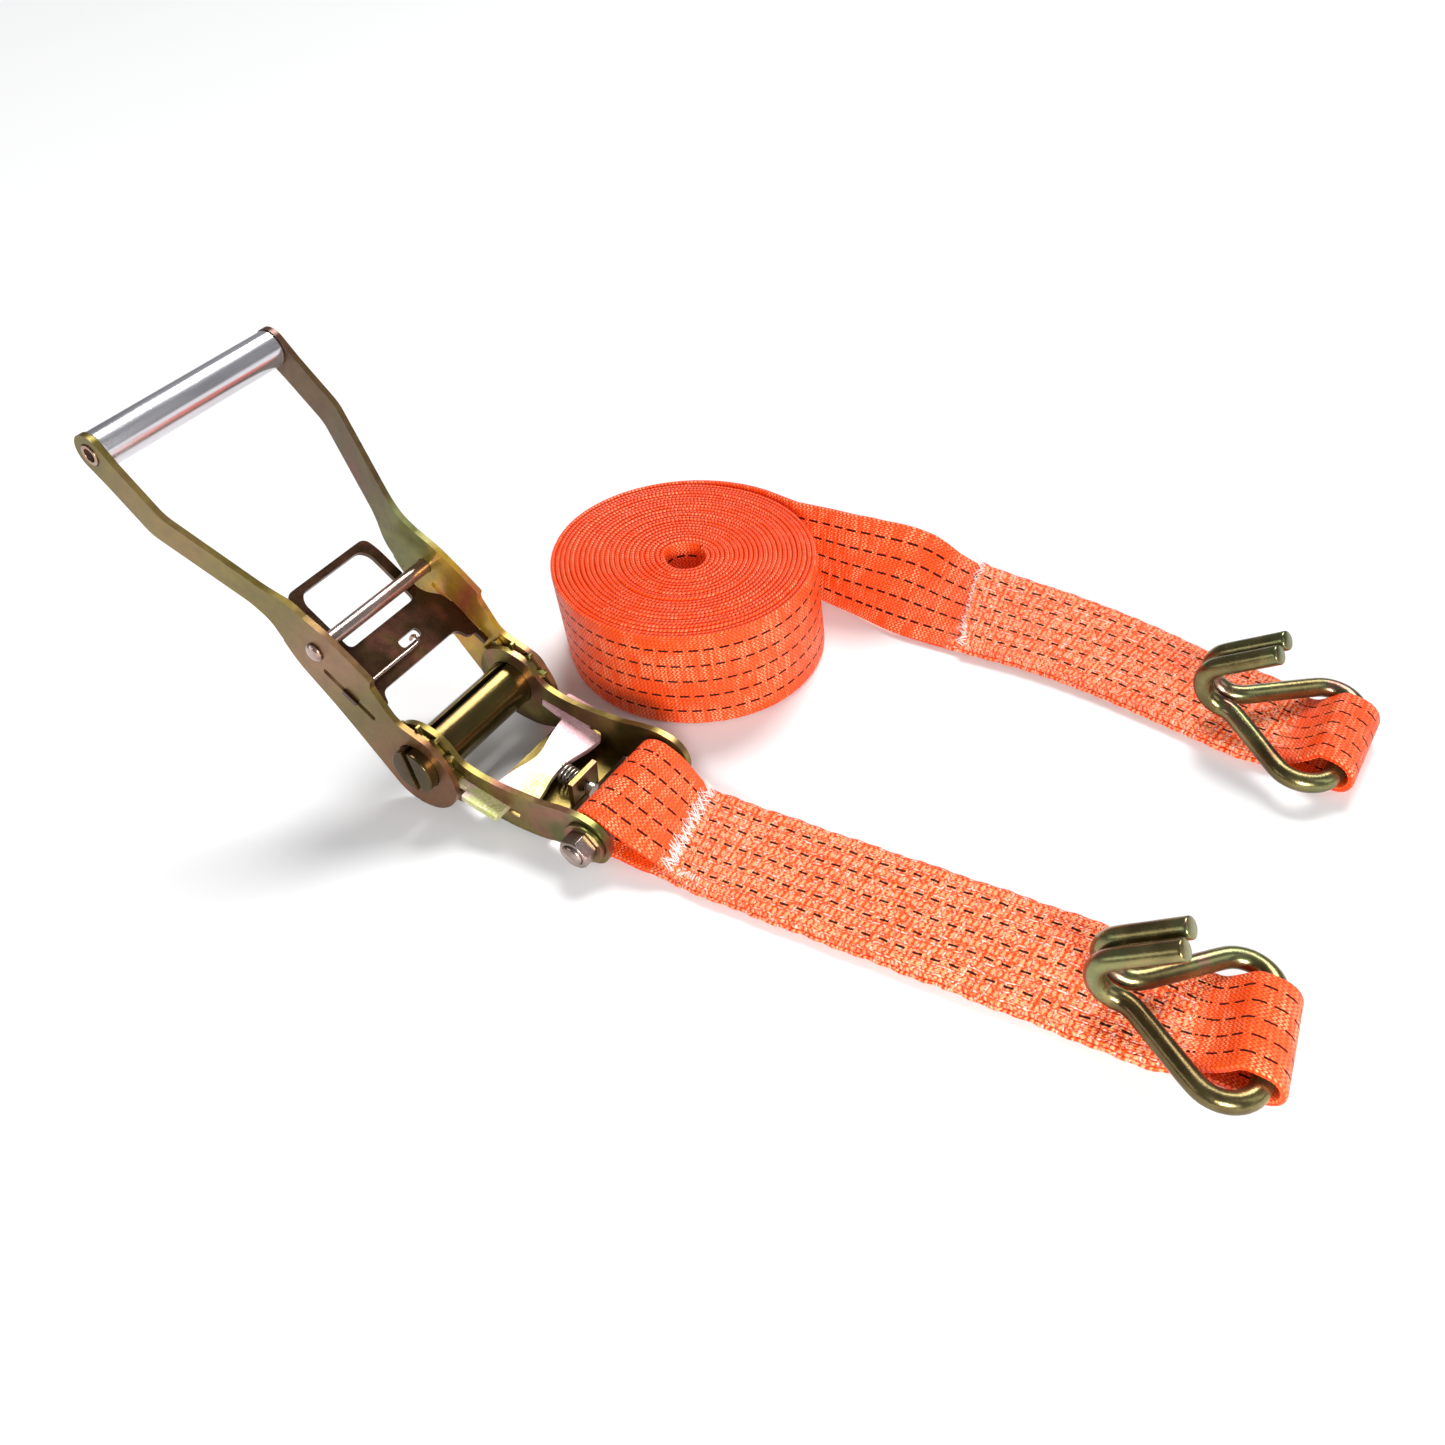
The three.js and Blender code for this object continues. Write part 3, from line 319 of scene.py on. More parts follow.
def webbing(name):
    """Woven polyester: crosswise ribs of slanted yarns and five dashed marker threads.

    Painted shade darkens the yarn hollows and the gaps between ribs, painted peach highlights
    light the yarn tops, and the cloth glows faintly with painted light.
    Where the mesh attribute 'sewn' is 1, raised bars with painted highlights on their crests
    and broken white stitches are added."""
    s = Surface(name)
    uv = s.tree.nodes.new("ShaderNodeUVMap")
    uv.uv_map = "cloth"
    parts = s.tree.nodes.new("ShaderNodeSeparateXYZ")
    s.tree.links.new(uv.outputs[0], parts.inputs[0])
    along = parts.outputs[0]
    across = parts.outputs[1]
    sewn_node = s.tree.nodes.new("ShaderNodeAttribute")
    sewn_node.attribute_name = "sewn"
    sewn = sewn_node.outputs["Fac"]
    wander = s.math("SUBTRACT", s.noise(uv.outputs[0], 90, 2, 0.5), 0.5)
    along = s.math("MULTIPLY_ADD", wander, 0.0014, along)

    row = s.math("FLOOR", s.math("DIVIDE", across, YARN))
    in_row = s.math("FRACT", s.math("DIVIDE", across, YARN))
    parity = s.math("MODULO", s.math("ABSOLUTE", row), 2.0)
    lean = s.math("MULTIPLY", s.math("MULTIPLY_ADD", parity, 2.0, -1.0), s.math("MULTIPLY", in_row, 0.32))
    in_rib = s.math("FRACT", s.math("ADD", s.math("DIVIDE", along, RIB), lean))
    round_row = s.math("SINE", s.math("MULTIPLY", in_row, math.pi))
    round_rib = s.math("SINE", s.math("MULTIPLY", in_rib, math.pi))
    yarn = s.math("MULTIPLY", s.math("POWER", round_row, 0.5), s.math("POWER", round_rib, 0.8))

    patches = s.noise(uv.outputs[0], 60, 3, 0.6)
    highlight_bands = s.noise(s.stretched(uv.outputs[0], (1, 0.16, 1)), 420, 2, 0.5)
    glints = s.noise(uv.outputs[0], 1100, 2, 0.6)
    # Painted shade: the yarns are darker red in their hollows and orange on their crests.
    colour = s.mix(s.steps(yarn, 0.1, 0.7), WEB_SHADED_RED, WEB_ORANGE)
    # Painted shade: the gaps between the crosswise ribs are darkened.
    gap_shade = s.math("SUBTRACT", 1.0, s.steps(round_rib, 0.12, 0.55))
    colour = s.mix(s.math("MULTIPLY", gap_shade, 0.55), colour, WEB_GAP_SHADE)
    # Painted highlight: peach on the yarn tops, in noise patches and crosswise bands.
    yarn_highlight = s.math("MULTIPLY", s.steps(yarn, 0.5, 0.9), s.steps(patches, 0.38, 0.62))
    yarn_highlight = s.math("MULTIPLY", yarn_highlight, s.steps(highlight_bands, 0.38, 0.56))
    colour = s.mix(s.math("MULTIPLY", yarn_highlight, 0.68), colour, WEB_HIGHLIGHT)

    rough_along = s.math("MULTIPLY_ADD", s.math("SUBTRACT", glints, 0.5), 0.0016, along)
    bar_part = s.math("FRACT", s.math("DIVIDE", rough_along, QUILT[0]))
    quilt_u = s.math("SINE", s.math("MULTIPLY", math.pi, bar_part))
    lane_part = s.math("FRACT", s.math("ADD", s.math("DIVIDE", across, QUILT[1]), 0.5))
    quilt_v = s.math("SINE", s.math("MULTIPLY", math.pi, lane_part))
    quilt = s.math("MULTIPLY", quilt_u, s.math("POWER", quilt_v, 0.6))
    uneven = s.noise(uv.outputs[0], 260, 3, 0.65)
    # Painted highlight: peach on the crests of the sewn zone's raised bars.
    quilt_highlight = s.math("MULTIPLY", s.steps(s.math("ADD", quilt, uneven), 0.95, 1.4), sewn)
    colour = s.mix(s.math("MULTIPLY", quilt_highlight, 0.6), colour, WEB_HIGHLIGHT)

    marker = s.math("ROUND", s.math("DIVIDE", across, MARKER_PITCH))
    near = s.math("ABSOLUTE", s.math("SUBTRACT", across, s.math("MULTIPLY", marker, MARKER_PITCH)))
    line = s.math("SUBTRACT", 1.0, s.steps(near, 0.00044, 0.00062))
    inside = s.math("LESS_THAN", s.math("ABSOLUTE", marker), 2.5)
    pitch = s.math("MULTIPLY_ADD", sewn, 0.0004, DASH_PITCH)
    phase = s.math("MULTIPLY_ADD", marker, 0.37, s.math("DIVIDE", along, pitch))
    duty = s.math("MULTIPLY_ADD", sewn, -0.12, 0.66)
    dash = s.math("LESS_THAN", s.math("FRACT", phase), duty)
    marks = s.math("MULTIPLY", s.math("MULTIPLY", line, inside), dash)
    colour = s.mix(s.math("MULTIPLY", marks, 0.96), colour, THREAD_BLACK)

    lane = s.math("FRACT", s.math("DIVIDE", s.math("MULTIPLY_ADD", wander, 0.0012, across), STITCH_PITCH))
    lane_off = s.math("MULTIPLY", s.math("ABSOLUTE", s.math("SUBTRACT", lane, 0.5)), STITCH_PITCH)
    lane_line = s.math("SUBTRACT", 1.0, s.steps(lane_off, 0.0002, 0.0005))
    cross = s.math("FRACT", s.math("DIVIDE", rough_along, CROSS_STITCH_PITCH))
    cross_off = s.math("ABSOLUTE", s.math("SUBTRACT", cross, 0.5))
    cross_off = s.math("MULTIPLY", cross_off, CROSS_STITCH_PITCH)
    cross_line = s.math("SUBTRACT", 1.0, s.steps(cross_off, 0.00018, 0.00055))
    breaks = s.noise(uv.outputs[0], 420, 3, 0.75)
    thread = s.math("MULTIPLY", s.math("MAXIMUM", lane_line, cross_line), s.steps(breaks, 0.48, 0.58))
    thread = s.math("MULTIPLY", s.math("MULTIPLY", thread, sewn), s.math("SUBTRACT", 1.0, marks))
    colour = s.mix(s.math("MULTIPLY", thread, 0.7), colour, THREAD_WHITE)
    s.set("Base Color", colour)
    # Painted glow: the webbing emits its own colour, painted highlights and shade included.
    s.set("Emission Color", colour)
    s.set("Emission Strength", 0.1)

    pull = s.math("SUBTRACT", 1.0, s.steps(s.math("MINIMUM", lane_off, cross_off), 0.0, 0.0014))
    height = s.math("MULTIPLY_ADD", s.math("MULTIPLY", pull, sewn), -1.0, yarn)
    height = s.math("MULTIPLY_ADD", s.math("MULTIPLY", quilt, sewn), 1.1, height)
    height = s.math("MULTIPLY_ADD", thread, 0.9, height)
    height = s.math("MULTIPLY_ADD", patches, 1.2, height)
    s.bump(height, 0.00036)
    s.set("Roughness", s.math("MULTIPLY_ADD", glints, 0.24, 0.28))
    s.set("Specular IOR Level", s.math("MULTIPLY_ADD", marks, -0.3, 0.34))
    return s.material


def thread_material(name, light, dark):
    s = Surface(name)
    fibre = s.noise(s.coordinates(2), 2600, 2, 0.6)
    s.set("Base Color", s.mix(fibre, light, dark))
    s.set("Roughness", s.math("MULTIPLY_ADD", fibre, 0.25, 0.35))
    s.bump(fibre, 0.0001)
    return s.material


web_material = webbing("orange_webbing")
thread_look = thread_material("white_thread", (0.9, 0.82, 0.78, 1), (0.6, 0.5, 0.46, 1))


# ------------------------------------------------------------------ mesh helpers
HARD_ANGLE = math.radians(26)


def new_object(name, mesh, material, body):
    obj = bpy.data.objects.new(name, mesh)
    bpy.context.scene.collection.objects.link(obj)
    mesh.materials.clear()
    mesh.materials.append(material)
    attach(obj, body)
    return obj


def shade(mesh, degrees=38):
    mesh.shade_smooth()
    mesh.set_sharp_from_angle(angle=math.radians(degrees))


def finish_metal(node, material, edge):
    """A copy of a CAD node with its facets joined and its hard edges rounded over."""
    body = nodes[node]["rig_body"]
    mesh = nodes[node].data.copy()
    mesh.name = node + "_finished"
    shape = bmesh.new()
    shape.from_mesh(mesh)
    bmesh.ops.remove_doubles(shape, verts=shape.verts, dist=0.000004)
    bmesh.ops.dissolve_limit(
        shape, angle_limit=math.radians(0.6), verts=shape.verts, edges=shape.edges)
    hard = [e for e in shape.edges if e.is_manifold and e.calc_face_angle(0) > HARD_ANGLE]
    bmesh.ops.bevel(
        shape, geom=hard, offset=edge * MM, offset_type="OFFSET", segments=2, profile=0.6,
        affect="EDGES", clamp_overlap=True)
    shape.to_mesh(mesh)
    shape.free()
    while mesh.color_attributes:
        mesh.color_attributes.remove(mesh.color_attributes[0])
    shade(mesh)
    obj = new_object(node + "_metal", mesh, material, body)
    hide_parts(node)
    weighted = obj.modifiers.new("even_shading", "WEIGHTED_NORMAL")
    weighted.keep_sharp = True


def spaced(points, count, closed=False):
    """A smooth curve through 2-D or 3-D points, as evenly spaced (point, tangent) pairs."""
    points = [Vector(p).to_3d() for p in points]
    total = len(points)
    spans = total if closed else total - 1
    fine = []

    def at(i):
        if closed:
            return points[i % total]
        if i < 0:
            return points[0] * 2 - points[1]
        if i >= total:
            return points[-1] * 2 - points[-2]
        return points[i]

    for i in range(spans):
        p0, p1, p2, p3 = at(i - 1), at(i), at(i + 1), at(i + 2)
        t1 = max((p1 - p0).length, 1e-6) ** 0.5
        t2 = t1 + max((p2 - p1).length, 1e-6) ** 0.5
        t3 = t2 + max((p3 - p2).length, 1e-6) ** 0.5
        for k in range(16):
            t = t1 + (t2 - t1) * k / 16
            a1 = p0 * ((t1 - t) / t1) + p1 * (t / t1)
            a2 = p1 * ((t2 - t) / (t2 - t1)) + p2 * ((t - t1) / (t2 - t1))
            a3 = p2 * ((t3 - t) / (t3 - t2)) + p3 * ((t - t2) / (t3 - t2))
            b1 = a1 * ((t2 - t) / t2) + a2 * (t / t2)
            b2 = a2 * ((t3 - t) / (t3 - t1)) + a3 * ((t - t1) / (t3 - t1))
            fine.append(b1 * ((t2 - t) / (t2 - t1)) + b2 * ((t - t1) / (t2 - t1)))
    fine.append(at(spans))
    lengths = [0.0]
    for a, b in zip(fine, fine[1:]):
        lengths.append(lengths[-1] + (b - a).length)
    result = []
    j = 0
    for i in range(count):
        goal = lengths[-1] * i / (count if closed else count - 1)
        while j < len(lengths) - 2 and lengths[j + 1] < goal:
            j += 1
        part = (goal - lengths[j]) / max(lengths[j + 1] - lengths[j], 1e-9)
        result.append((fine[j].lerp(fine[j + 1], part), (fine[j + 1] - fine[j]).normalized()))
    return result, lengths[-1]


def wire_mesh(name, points, radius, sides, rim=0.7):
    """A round wire through points (metres), with slightly rounded cut ends."""
    tangents = []
    for i in range(len(points)):
        before = points[max(i - 1, 0)]
        after = points[min(i + 1, len(points) - 1)]
        tangents.append((after - before).normalized())
    rings = [(points[0], 0, radius * 0.001), (points[0], 0, radius - rim * MM)]
    rings.append((points[0] + tangents[0] * rim * 0.35 * MM, 0, radius - rim * 0.3 * MM))
    rings.append((points[0] + tangents[0] * rim * MM, 0, radius))
    rings += [(points[i], i, radius) for i in range(1, len(points) - 1)]
    last = len(points) - 1
    rings.append((points[last] - tangents[last] * rim * MM, last, radius))
    rings.append((points[last] - tangents[last] * rim * 0.35 * MM, last, radius - rim * 0.3 * MM))
    rings += [(points[last], last, radius - rim * MM), (points[last], last, radius * 0.001)]
    side = tangents[0].orthogonal().normalized()
    vertices = []
    for centre, i, size in rings:
        side = (side - tangents[i] * side.dot(tangents[i])).normalized()
        other = tangents[i].cross(side)
        for k in range(sides):
            turn = 2 * math.pi * k / sides
            vertices.append(centre + (side * math.cos(turn) + other * math.sin(turn)) * size)
    faces = []
    for i in range(len(rings) - 1):
        for k in range(sides):
            a = i * sides + k
            b = i * sides + (k + 1) % sides
            faces.append((a, b, b + sides, a + sides))
    faces.append(tuple(reversed(range(sides))))
    faces.append(tuple(range((len(rings) - 1) * sides, len(rings) * sides)))
    mesh = bpy.data.meshes.new(name)
    mesh.from_pydata(vertices, [], faces)
    mesh.validate()
    shade(mesh, 50)
    return mesh


WIDTH_STEPS = 20
HALF_WIDTH = 25.0


def ribbon(name, stations, closed, columns=WIDTH_STEPS):
    """Webbing through stations: dicts of centre, half, normal (metres), along (metres) and sewn."""
    inner = [-0.94 + 1.88 * i / columns for i in range(columns + 1)]
    widths = [-1.0, -0.99, -0.97] + inner + [0.97, 0.99, 1.0]
    section = []
    for w in widths:
        section.append((w, -edge_round(w)))
    for w in reversed(widths[1:-1]):
        section.append((w, edge_round(w)))
    size = len(section)
    vertices = []
    sewn = []
    for st in stations:
        for w, h in section:
            vertices.append(st["centre"] + st["half"] * w + st["normal"] * h)
            sewn.append(st["sewn"])
    faces = []
    marks = []
    spans = len(stations) if closed else len(stations) - 1
    step = stations[1]["along"] - stations[0]["along"]
    for i in range(spans):
        j = (i + 1) % len(stations)
        u0 = stations[i]["along"]
        u1 = stations[j]["along"] if j else u0 + step
        for k in range(size):
            m = (k + 1) % size
            faces.append((i * size + k, i * size + m, j * size + m, j * size + k))
            v0 = section[k][0] * HALF_WIDTH * MM
            v1 = section[m][0] * HALF_WIDTH * MM
            marks.append(((u0, v0), (u0, v1), (u1, v1), (u1, v0)))
    if not closed:
        last = (len(stations) - 1) * size
        half = size // 2
        for base, u, flip in ((0, stations[0]["along"], True), (last, stations[-1]["along"], False)):
            for k in range(half):
                quad = [k, k + 1, (size - k - 1) % size, (size - k) % size]
                corners = []
                for q in quad:
                    if not corners or corners[-1] != q:
                        corners.append(q)
                if corners[0] == corners[-1]:
                    corners.pop()
                if flip:
                    corners.reverse()
                if len(corners) < 3:
                    continue
                faces.append(tuple(base + q for q in corners))
                marks.append(tuple((u, section[q][0] * HALF_WIDTH * MM) for q in corners))
    mesh = bpy.data.meshes.new(name)
    mesh.from_pydata(vertices, [], faces)
    layer = mesh.uv_layers.new(name="cloth")
    flat = [value for face in marks for corner in face for value in corner]
    layer.data.foreach_set("uv", flat)
    attribute = mesh.attributes.new("sewn", "FLOAT", "POINT")
    attribute.data.foreach_set("value", sewn)
    shade(mesh, 60)
    return mesh


def edge_round(w):
    over = max(abs(w) - 0.94, 0) / 0.06
    return math.sqrt(max(1 - over * over, 0))


def smoothstep(value, low, high):
    t = min(max((value - low) / (high - low), 0), 1)
    return t * t * (3 - 2 * t)


def arc(cx, cz, radius, start, end, steps):
    result = []
    for i in range(steps + 1):
        turn = math.radians(start + (end - start) * i / steps)
        result.append((cx + radius * math.cos(turn), cz + radius * math.sin(turn)))
    return result


# ------------------------------------------------------------------ straps
WEB = 2.8
WIRE = 4.0
BAR_Z = 9
LOOP_PLAY = 1.5
GATHER = 0.2
LOW = 0.2 + WEB / 2
HIGH = LOW + WEB + 0.3
BAR_REACH = WIRE + LOOP_PLAY + WEB / 2
SHORT_BAR = (261, 6.5, BAR_Z)
SHORT_YAW = 9.5
LAP_SKEW = 0.22
TACK_X = 29.5
SHORT_TACK_HALF = 23.6
LONG_TACK_HALF = 24.2
EDGE_TACK_Y = -20.6
SHORT_STEPS = 300
TAIL_STEPS = 230
HOOK_PITCH = 8
LONG_HOOK_YAW = 1


def path_normals(points, closed):
    result = []
    count = len(points)
    for i in range(count):
        before = points[(i - 1) % count] if closed or i else points[0]
        after = points[(i + 1) % count] if closed or i < count - 1 else points[-1]
        step = (after - before).normalized()
        result.append(Vector((-step.y, step.x)))
    return result


# Rows of (x, z, skew, normal) along the upper layer, kept for the tack sewn on it.
short_top = []


def short_strap():
    around = 8 + 0.5 + WEB / 2
    bx, _, bz = SHORT_BAR
    outline = arc(0, BOLT_Z, around, 68, 285, 14)
    outline += [(14, 3.4), (24, LOW + 0.3), (34, LOW)]
    outline += [(x, LOW) for x in (60, 100, 140, 180, 215, 235)]
    outline += [(247, LOW + 0.9)] + arc(bx, bz, BAR_REACH, -96, 90, 10)
    outline += [(bx - 6.5, bz + BAR_REACH), (249.5, 11.4), (243.8, 6.7), (237.5, HIGH + 0.1)]
    outline += [(x, HIGH) for x in (226, 210, 180, 140, 100, 60, 42)] + [(33, HIGH + 0.5), (20, 13.2)]
    pairs, length = spaced(outline, SHORT_STEPS, True)
    points = [p.to_2d() for p, _ in pairs]
    normals = path_normals(points, True)
    stations = []
    for i, (p, n) in enumerate(zip(points, normals)):
        x, z = p
        along = length * i / len(points)
        sewn = smoothstep(x, 26, 30) * (1 - smoothstep(x, 236, 241))
        width = HALF_WIDTH * (1 - GATHER * smoothstep(x, 222, 245))
        width *= 1 - 0.05 * math.exp(-((x - 29) / 6) ** 2)
        scallop = 0.28 * sewn * math.sin(along * 2 * math.pi / 9)
        lap_skew = 0.0
        if i > len(points) / 2:
            lap_skew = LAP_SKEW * smoothstep(x, 8, 26) * (1 - smoothstep(x, 36, 75))
            short_top.append((x, z, lap_skew, n))
        skew = lap_skew + math.tan(math.radians(SHORT_YAW)) * smoothstep(x, 205, 250)
        drift = SHORT_BAR[1] * smoothstep(x, 12, 235)
        wave = 0.25 * sewn * math.sin(x * 0.21)
        half = Vector((-skew * width, width + scallop, 0))
        stations.append({
            "centre": place(x, drift + wave, z),
            "half": half * MM,
            "normal": Vector((n.x, 0, n.y)) * (WEB / 2 * (1 - 0.12 * sewn)) * MM,
            "along": along * MM,
            "sewn": sewn,
        })
    mesh = ribbon("short_webbing", stations, True)
    obj = new_object("short_webbing", mesh, web_material, "short_strap_set")
    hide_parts("short_strap")


# The tail's near edge on the ground, and its lean in degrees against distance along that edge.
TAIL_EDGE = [
    (-19, 171.3), (-5, 167.2), (17, 162.6), (41, 156.6), (64, 155.4), (85, 155.6), (104, 155.8),
    (124, 154.6), (144, 152), (163, 148.5), (182, 144.8), (200, 141.2), (217, 137.8), (235, 134.2),
    (255, 130.2),
]
TAIL_LEAN = [
    (0, 87), (15, 80), (30, 75), (42, 67), (52, 53), (62, 37), (72, 24), (84, 16), (98, 12), (115, 9),
    (135, 6), (160, 3), (185, 0),
]
edge_pairs, EDGE_LENGTH = spaced(TAIL_EDGE, 600)
LONG_BAR = 262
LONG_BAR_OFFSET = -0.8
LONG_LAP = 90
LONG_SHEAR = math.tan(math.radians(12))


def lean_at(s):
    if s <= 0:
        return math.radians(TAIL_LEAN[0][1])
    for (s0, a0), (s1, a1) in zip(TAIL_LEAN, TAIL_LEAN[1:]):
        if s < s1:
            t = (s - s0) / (s1 - s0)
            return math.radians(a0 + (a1 - a0) * t)
    return 0.0


def on_tail(s, w, h):
    """A point on the tail in millimetres: s along its near edge, w across, h above its underside."""
    spot = min(max(s / EDGE_LENGTH, 0), 1) * (len(edge_pairs) - 1)
    i = min(int(spot), len(edge_pairs) - 2)
    base = edge_pairs[i][0].lerp(edge_pairs[i + 1][0], spot - i)
    step = (edge_pairs[i + 1][0] - edge_pairs[i][0]).normalized()
    base = base + step * max(s - EDGE_LENGTH, 0)
    level = Vector((-step.y, step.x, 0))
    lean = lean_at(s)
    across = level * math.cos(lean) + Vector((0, 0, math.sin(lean)))
    out = level * -math.sin(lean) + Vector((0, 0, math.cos(lean)))
    return base + across * (w + HALF_WIDTH) + out * h


# The coil, an oval spiral round a hole whose middle is a little off the coil's own.
COIL_CENTRE = (-45.7, 113.4)
COIL_AXES = (69.1, 60.6)
HOLE_CENTRE = (-43.0, 113.0)
HOLE_AXES = (11.2, 9.2)
COIL_TURN = math.radians(-16.1)
COIL_TURNS = 23
COIL_WEB = 1.98
EXIT_ANGLE = math.radians(86.7)
PER_TURN = 64


def coil_stations():
    """The coil from its free inner end out to where it leaves for the tail."""
    total = COIL_TURNS * PER_TURN
    result = []
    for i in range(total + 1):
        f = i / total
        turn = EXIT_ANGLE + 2 * math.pi * COIL_TURNS * (1 - f)
        left = 2 * math.pi * COIL_TURNS * (1 - f)
        lift_off = 2.6 * (1 - smoothstep(left, 0, math.radians(75)))
        a = HOLE_AXES[0] + (COIL_AXES[0] - COIL_WEB / 2 - HOLE_AXES[0]) * f + lift_off
        b = HOLE_AXES[1] + (COIL_AXES[1] - COIL_WEB / 2 - HOLE_AXES[1]) * f + lift_off
        loose = noise.noise(Vector((math.cos(turn) * 0.9, math.sin(turn) * 0.9, 3.0))) * 0.9
        loose += noise.noise(Vector((f * 37.0, 5.0, 1.0))) * 0.16
        x = (a + loose) * math.cos(turn)
        y = (b + loose) * math.sin(turn)
        cx = HOLE_CENTRE[0] + (COIL_CENTRE[0] - HOLE_CENTRE[0]) * f
        cy = HOLE_CENTRE[1] + (COIL_CENTRE[1] - HOLE_CENTRE[1]) * f
        px = cx + x * math.cos(COIL_TURN) - y * math.sin(COIL_TURN)
        py = cy + x * math.sin(COIL_TURN) + y * math.cos(COIL_TURN)
        rise = 0.55 + 0.6 * noise.noise(Vector((f * 21.0, 0.5, 7.0)))
        result.append(Vector((px, py, HALF_WIDTH + max(rise, 0.0))))
    return result


def tail_stations():
    b = LONG_BAR
    outline = [(s, LOW) for s in (0, 20, 40, 60, 90, 120, 150, 180, 210, b - 26)]
    outline += [(b - 14, LOW + 0.9)] + arc(b, BAR_Z, BAR_REACH, -96, 90, 10)
    outline += [(b - 6.5, BAR_Z + BAR_REACH), (b - 11.5, 11.4), (b - 17.2, 6.7), (b - 23.5, HIGH + 0.1)]
    outline += [(s, HIGH) for s in (b - 35, 210, 180, 150, 120, LONG_LAP)]
    pairs, _ = spaced(outline, TAIL_STEPS)
    points = [p.to_2d() for p, _ in pairs]
    normals = path_normals(points, False)
    result = []
    for (s, h), n in zip(points, normals):
        sewn = smoothstep(s, LONG_LAP - 3, LONG_LAP + 1) * (1 - smoothstep(s, b - 25, b - 20))
        shear = LONG_SHEAR * smoothstep(s, b - 56, b - 11)
        lap = 6 / HALF_WIDTH * (1 - smoothstep(s, LONG_LAP, LONG_LAP + 30)) * smoothstep(h, LOW, HIGH)
        width = HALF_WIDTH * (1 - GATHER * smoothstep(s, b - 39, b - 16))
        width += 0.25 * sewn * math.sin(s * 2 * math.pi / 9)
        near = on_tail(s + (shear + lap) * width, -width, h)
        far = on_tail(s - (shear + lap) * width, width, h)
        inner = on_tail(s - n.x * 0.05, 0, h - n.y * 0.05)
        outer = on_tail(s + n.x * 0.05, 0, h + n.y * 0.05)
        result.append({
            "centre": (near + far) / 2, "half": (far - near) / 2,
            "normal": (outer - inner).normalized(), "sewn": sewn,
        })
    return result


def long_strap():
    wound = coil_stations()
    tail = tail_stations()
    stations = []
    for i, p in enumerate(wound):
        after = wound[min(i + 1, len(wound) - 1)]
        before = wound[max(i - 1, 0)]
        step = after - before
        step.z = 0
        step.normalize()
        stations.append({
            "centre": p, "half": Vector((0, 0, HALF_WIDTH - 0.1)), "normal": Vector((step.y, -step.x, 0)),
            "sewn": 0.0,
        })
    joined = stations[:-1] + tail
    along = 0.0
    result = []
    for i, st in enumerate(joined):
        if i:
            along += (st["centre"] - joined[i - 1]["centre"]).length
        into_tail = smoothstep(i, len(stations) - 20, len(stations) + 20)
        thick = COIL_WEB + (WEB - COIL_WEB) * into_tail
        thick *= 1 - 0.1 * st["sewn"]
        result.append({
            "centre": place(*st["centre"]), "half": st["half"] * MM,
            "normal": st["normal"] * thick / 2 * MM, "along": along * MM, "sewn": st["sewn"],
        })
    mesh = ribbon("long_webbing", result, False, 10)
    obj = new_object("long_webbing", mesh, web_material, "long_strap_set")
    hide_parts("long_strap_coil", "long_strap_tail")


short_strap()
long_strap()


def bar_tack(name, body, spot, count, reach):
    """A dense zigzag row of thread; spot(t, shift) gives (point, up, along) for t from -1 to 1."""
    rng = random.Random(7)
    vertices = []
    faces = []
    sides = 6
    for i in range(count):
        t = -0.97 + 1.94 * i / (count - 1)
        lean = rng.uniform(-5, 5)
        offset = rng.uniform(-0.9, 0.9)
        ends = (offset - reach - rng.uniform(0, 1.4), offset + reach + rng.uniform(0, 1.4))
        radius = rng.uniform(0.2, 0.36)
        start = len(vertices)
        rings = 7
        for r in range(rings):
            f = r / (rings - 1)
            shift = ends[0] + (ends[1] - ends[0]) * f
            arch = math.sin(math.pi * f)
            centre, up, along = spot(t + lean * (f - 0.5) * 0.05, shift)
            centre = centre + up * (0.35 * arch + rng.uniform(-0.03, 0.05) - 0.15)
            cross = up.cross(along)
            size = radius * (0.35 + 0.65 * arch)
            for k in range(sides):
                turn = 2 * math.pi * k / sides
                vertices.append(place(*(centre + (up * math.sin(turn) + cross * math.cos(turn)) * size)))
        for r in range(rings - 1):
            for k in range(sides):
                a = start + r * sides + k
                b = start + r * sides + (k + 1) % sides
                faces.append((a, b, b + sides, a + sides))
        faces.append(tuple(start + k for k in reversed(range(sides))))
        faces.append(tuple(start + (rings - 1) * sides + k for k in range(sides)))
    mesh = bpy.data.meshes.new(name)
    mesh.from_pydata(vertices, [], faces)
    shade(mesh, 60)
    obj = new_object(name, mesh, thread_look, body)


def short_tack_spot(t, shift):
    """On the upper layer where it comes down onto the lower one."""
    _, z, skew, n = min(short_top, key=lambda row: abs(row[0] - (TACK_X + shift)))
    y = t * SHORT_TACK_HALF
    up = Vector((n.x, 0, n.y))
    if up.z < 0:
        up = -up
    spot = Vector((TACK_X + shift - skew * y, y + 0.6, z)) + up * (WEB / 2)
    return spot, up, Vector((up.z, 0, -up.x))


def long_tack_spot(t, shift):
    s = LONG_LAP - 6 * t + shift + 1.0
    w = t * LONG_TACK_HALF
    here = on_tail(s, w, HIGH + WEB / 2)
    up = (on_tail(s, w, HIGH + WEB) - here).normalized()
    ahead = (on_tail(s + 0.5, w, HIGH + WEB / 2) - here).normalized()
    return here, up, ahead


def short_edge_spot(t, shift):
    """A short row along the near edge, where the tack turns the corner."""
    x = 42 + 7 * t
    return Vector((x, EDGE_TACK_Y + shift, HIGH + WEB / 2 - 0.15)), Vector((0, 0, 1)), Vector((0, 1, 0))


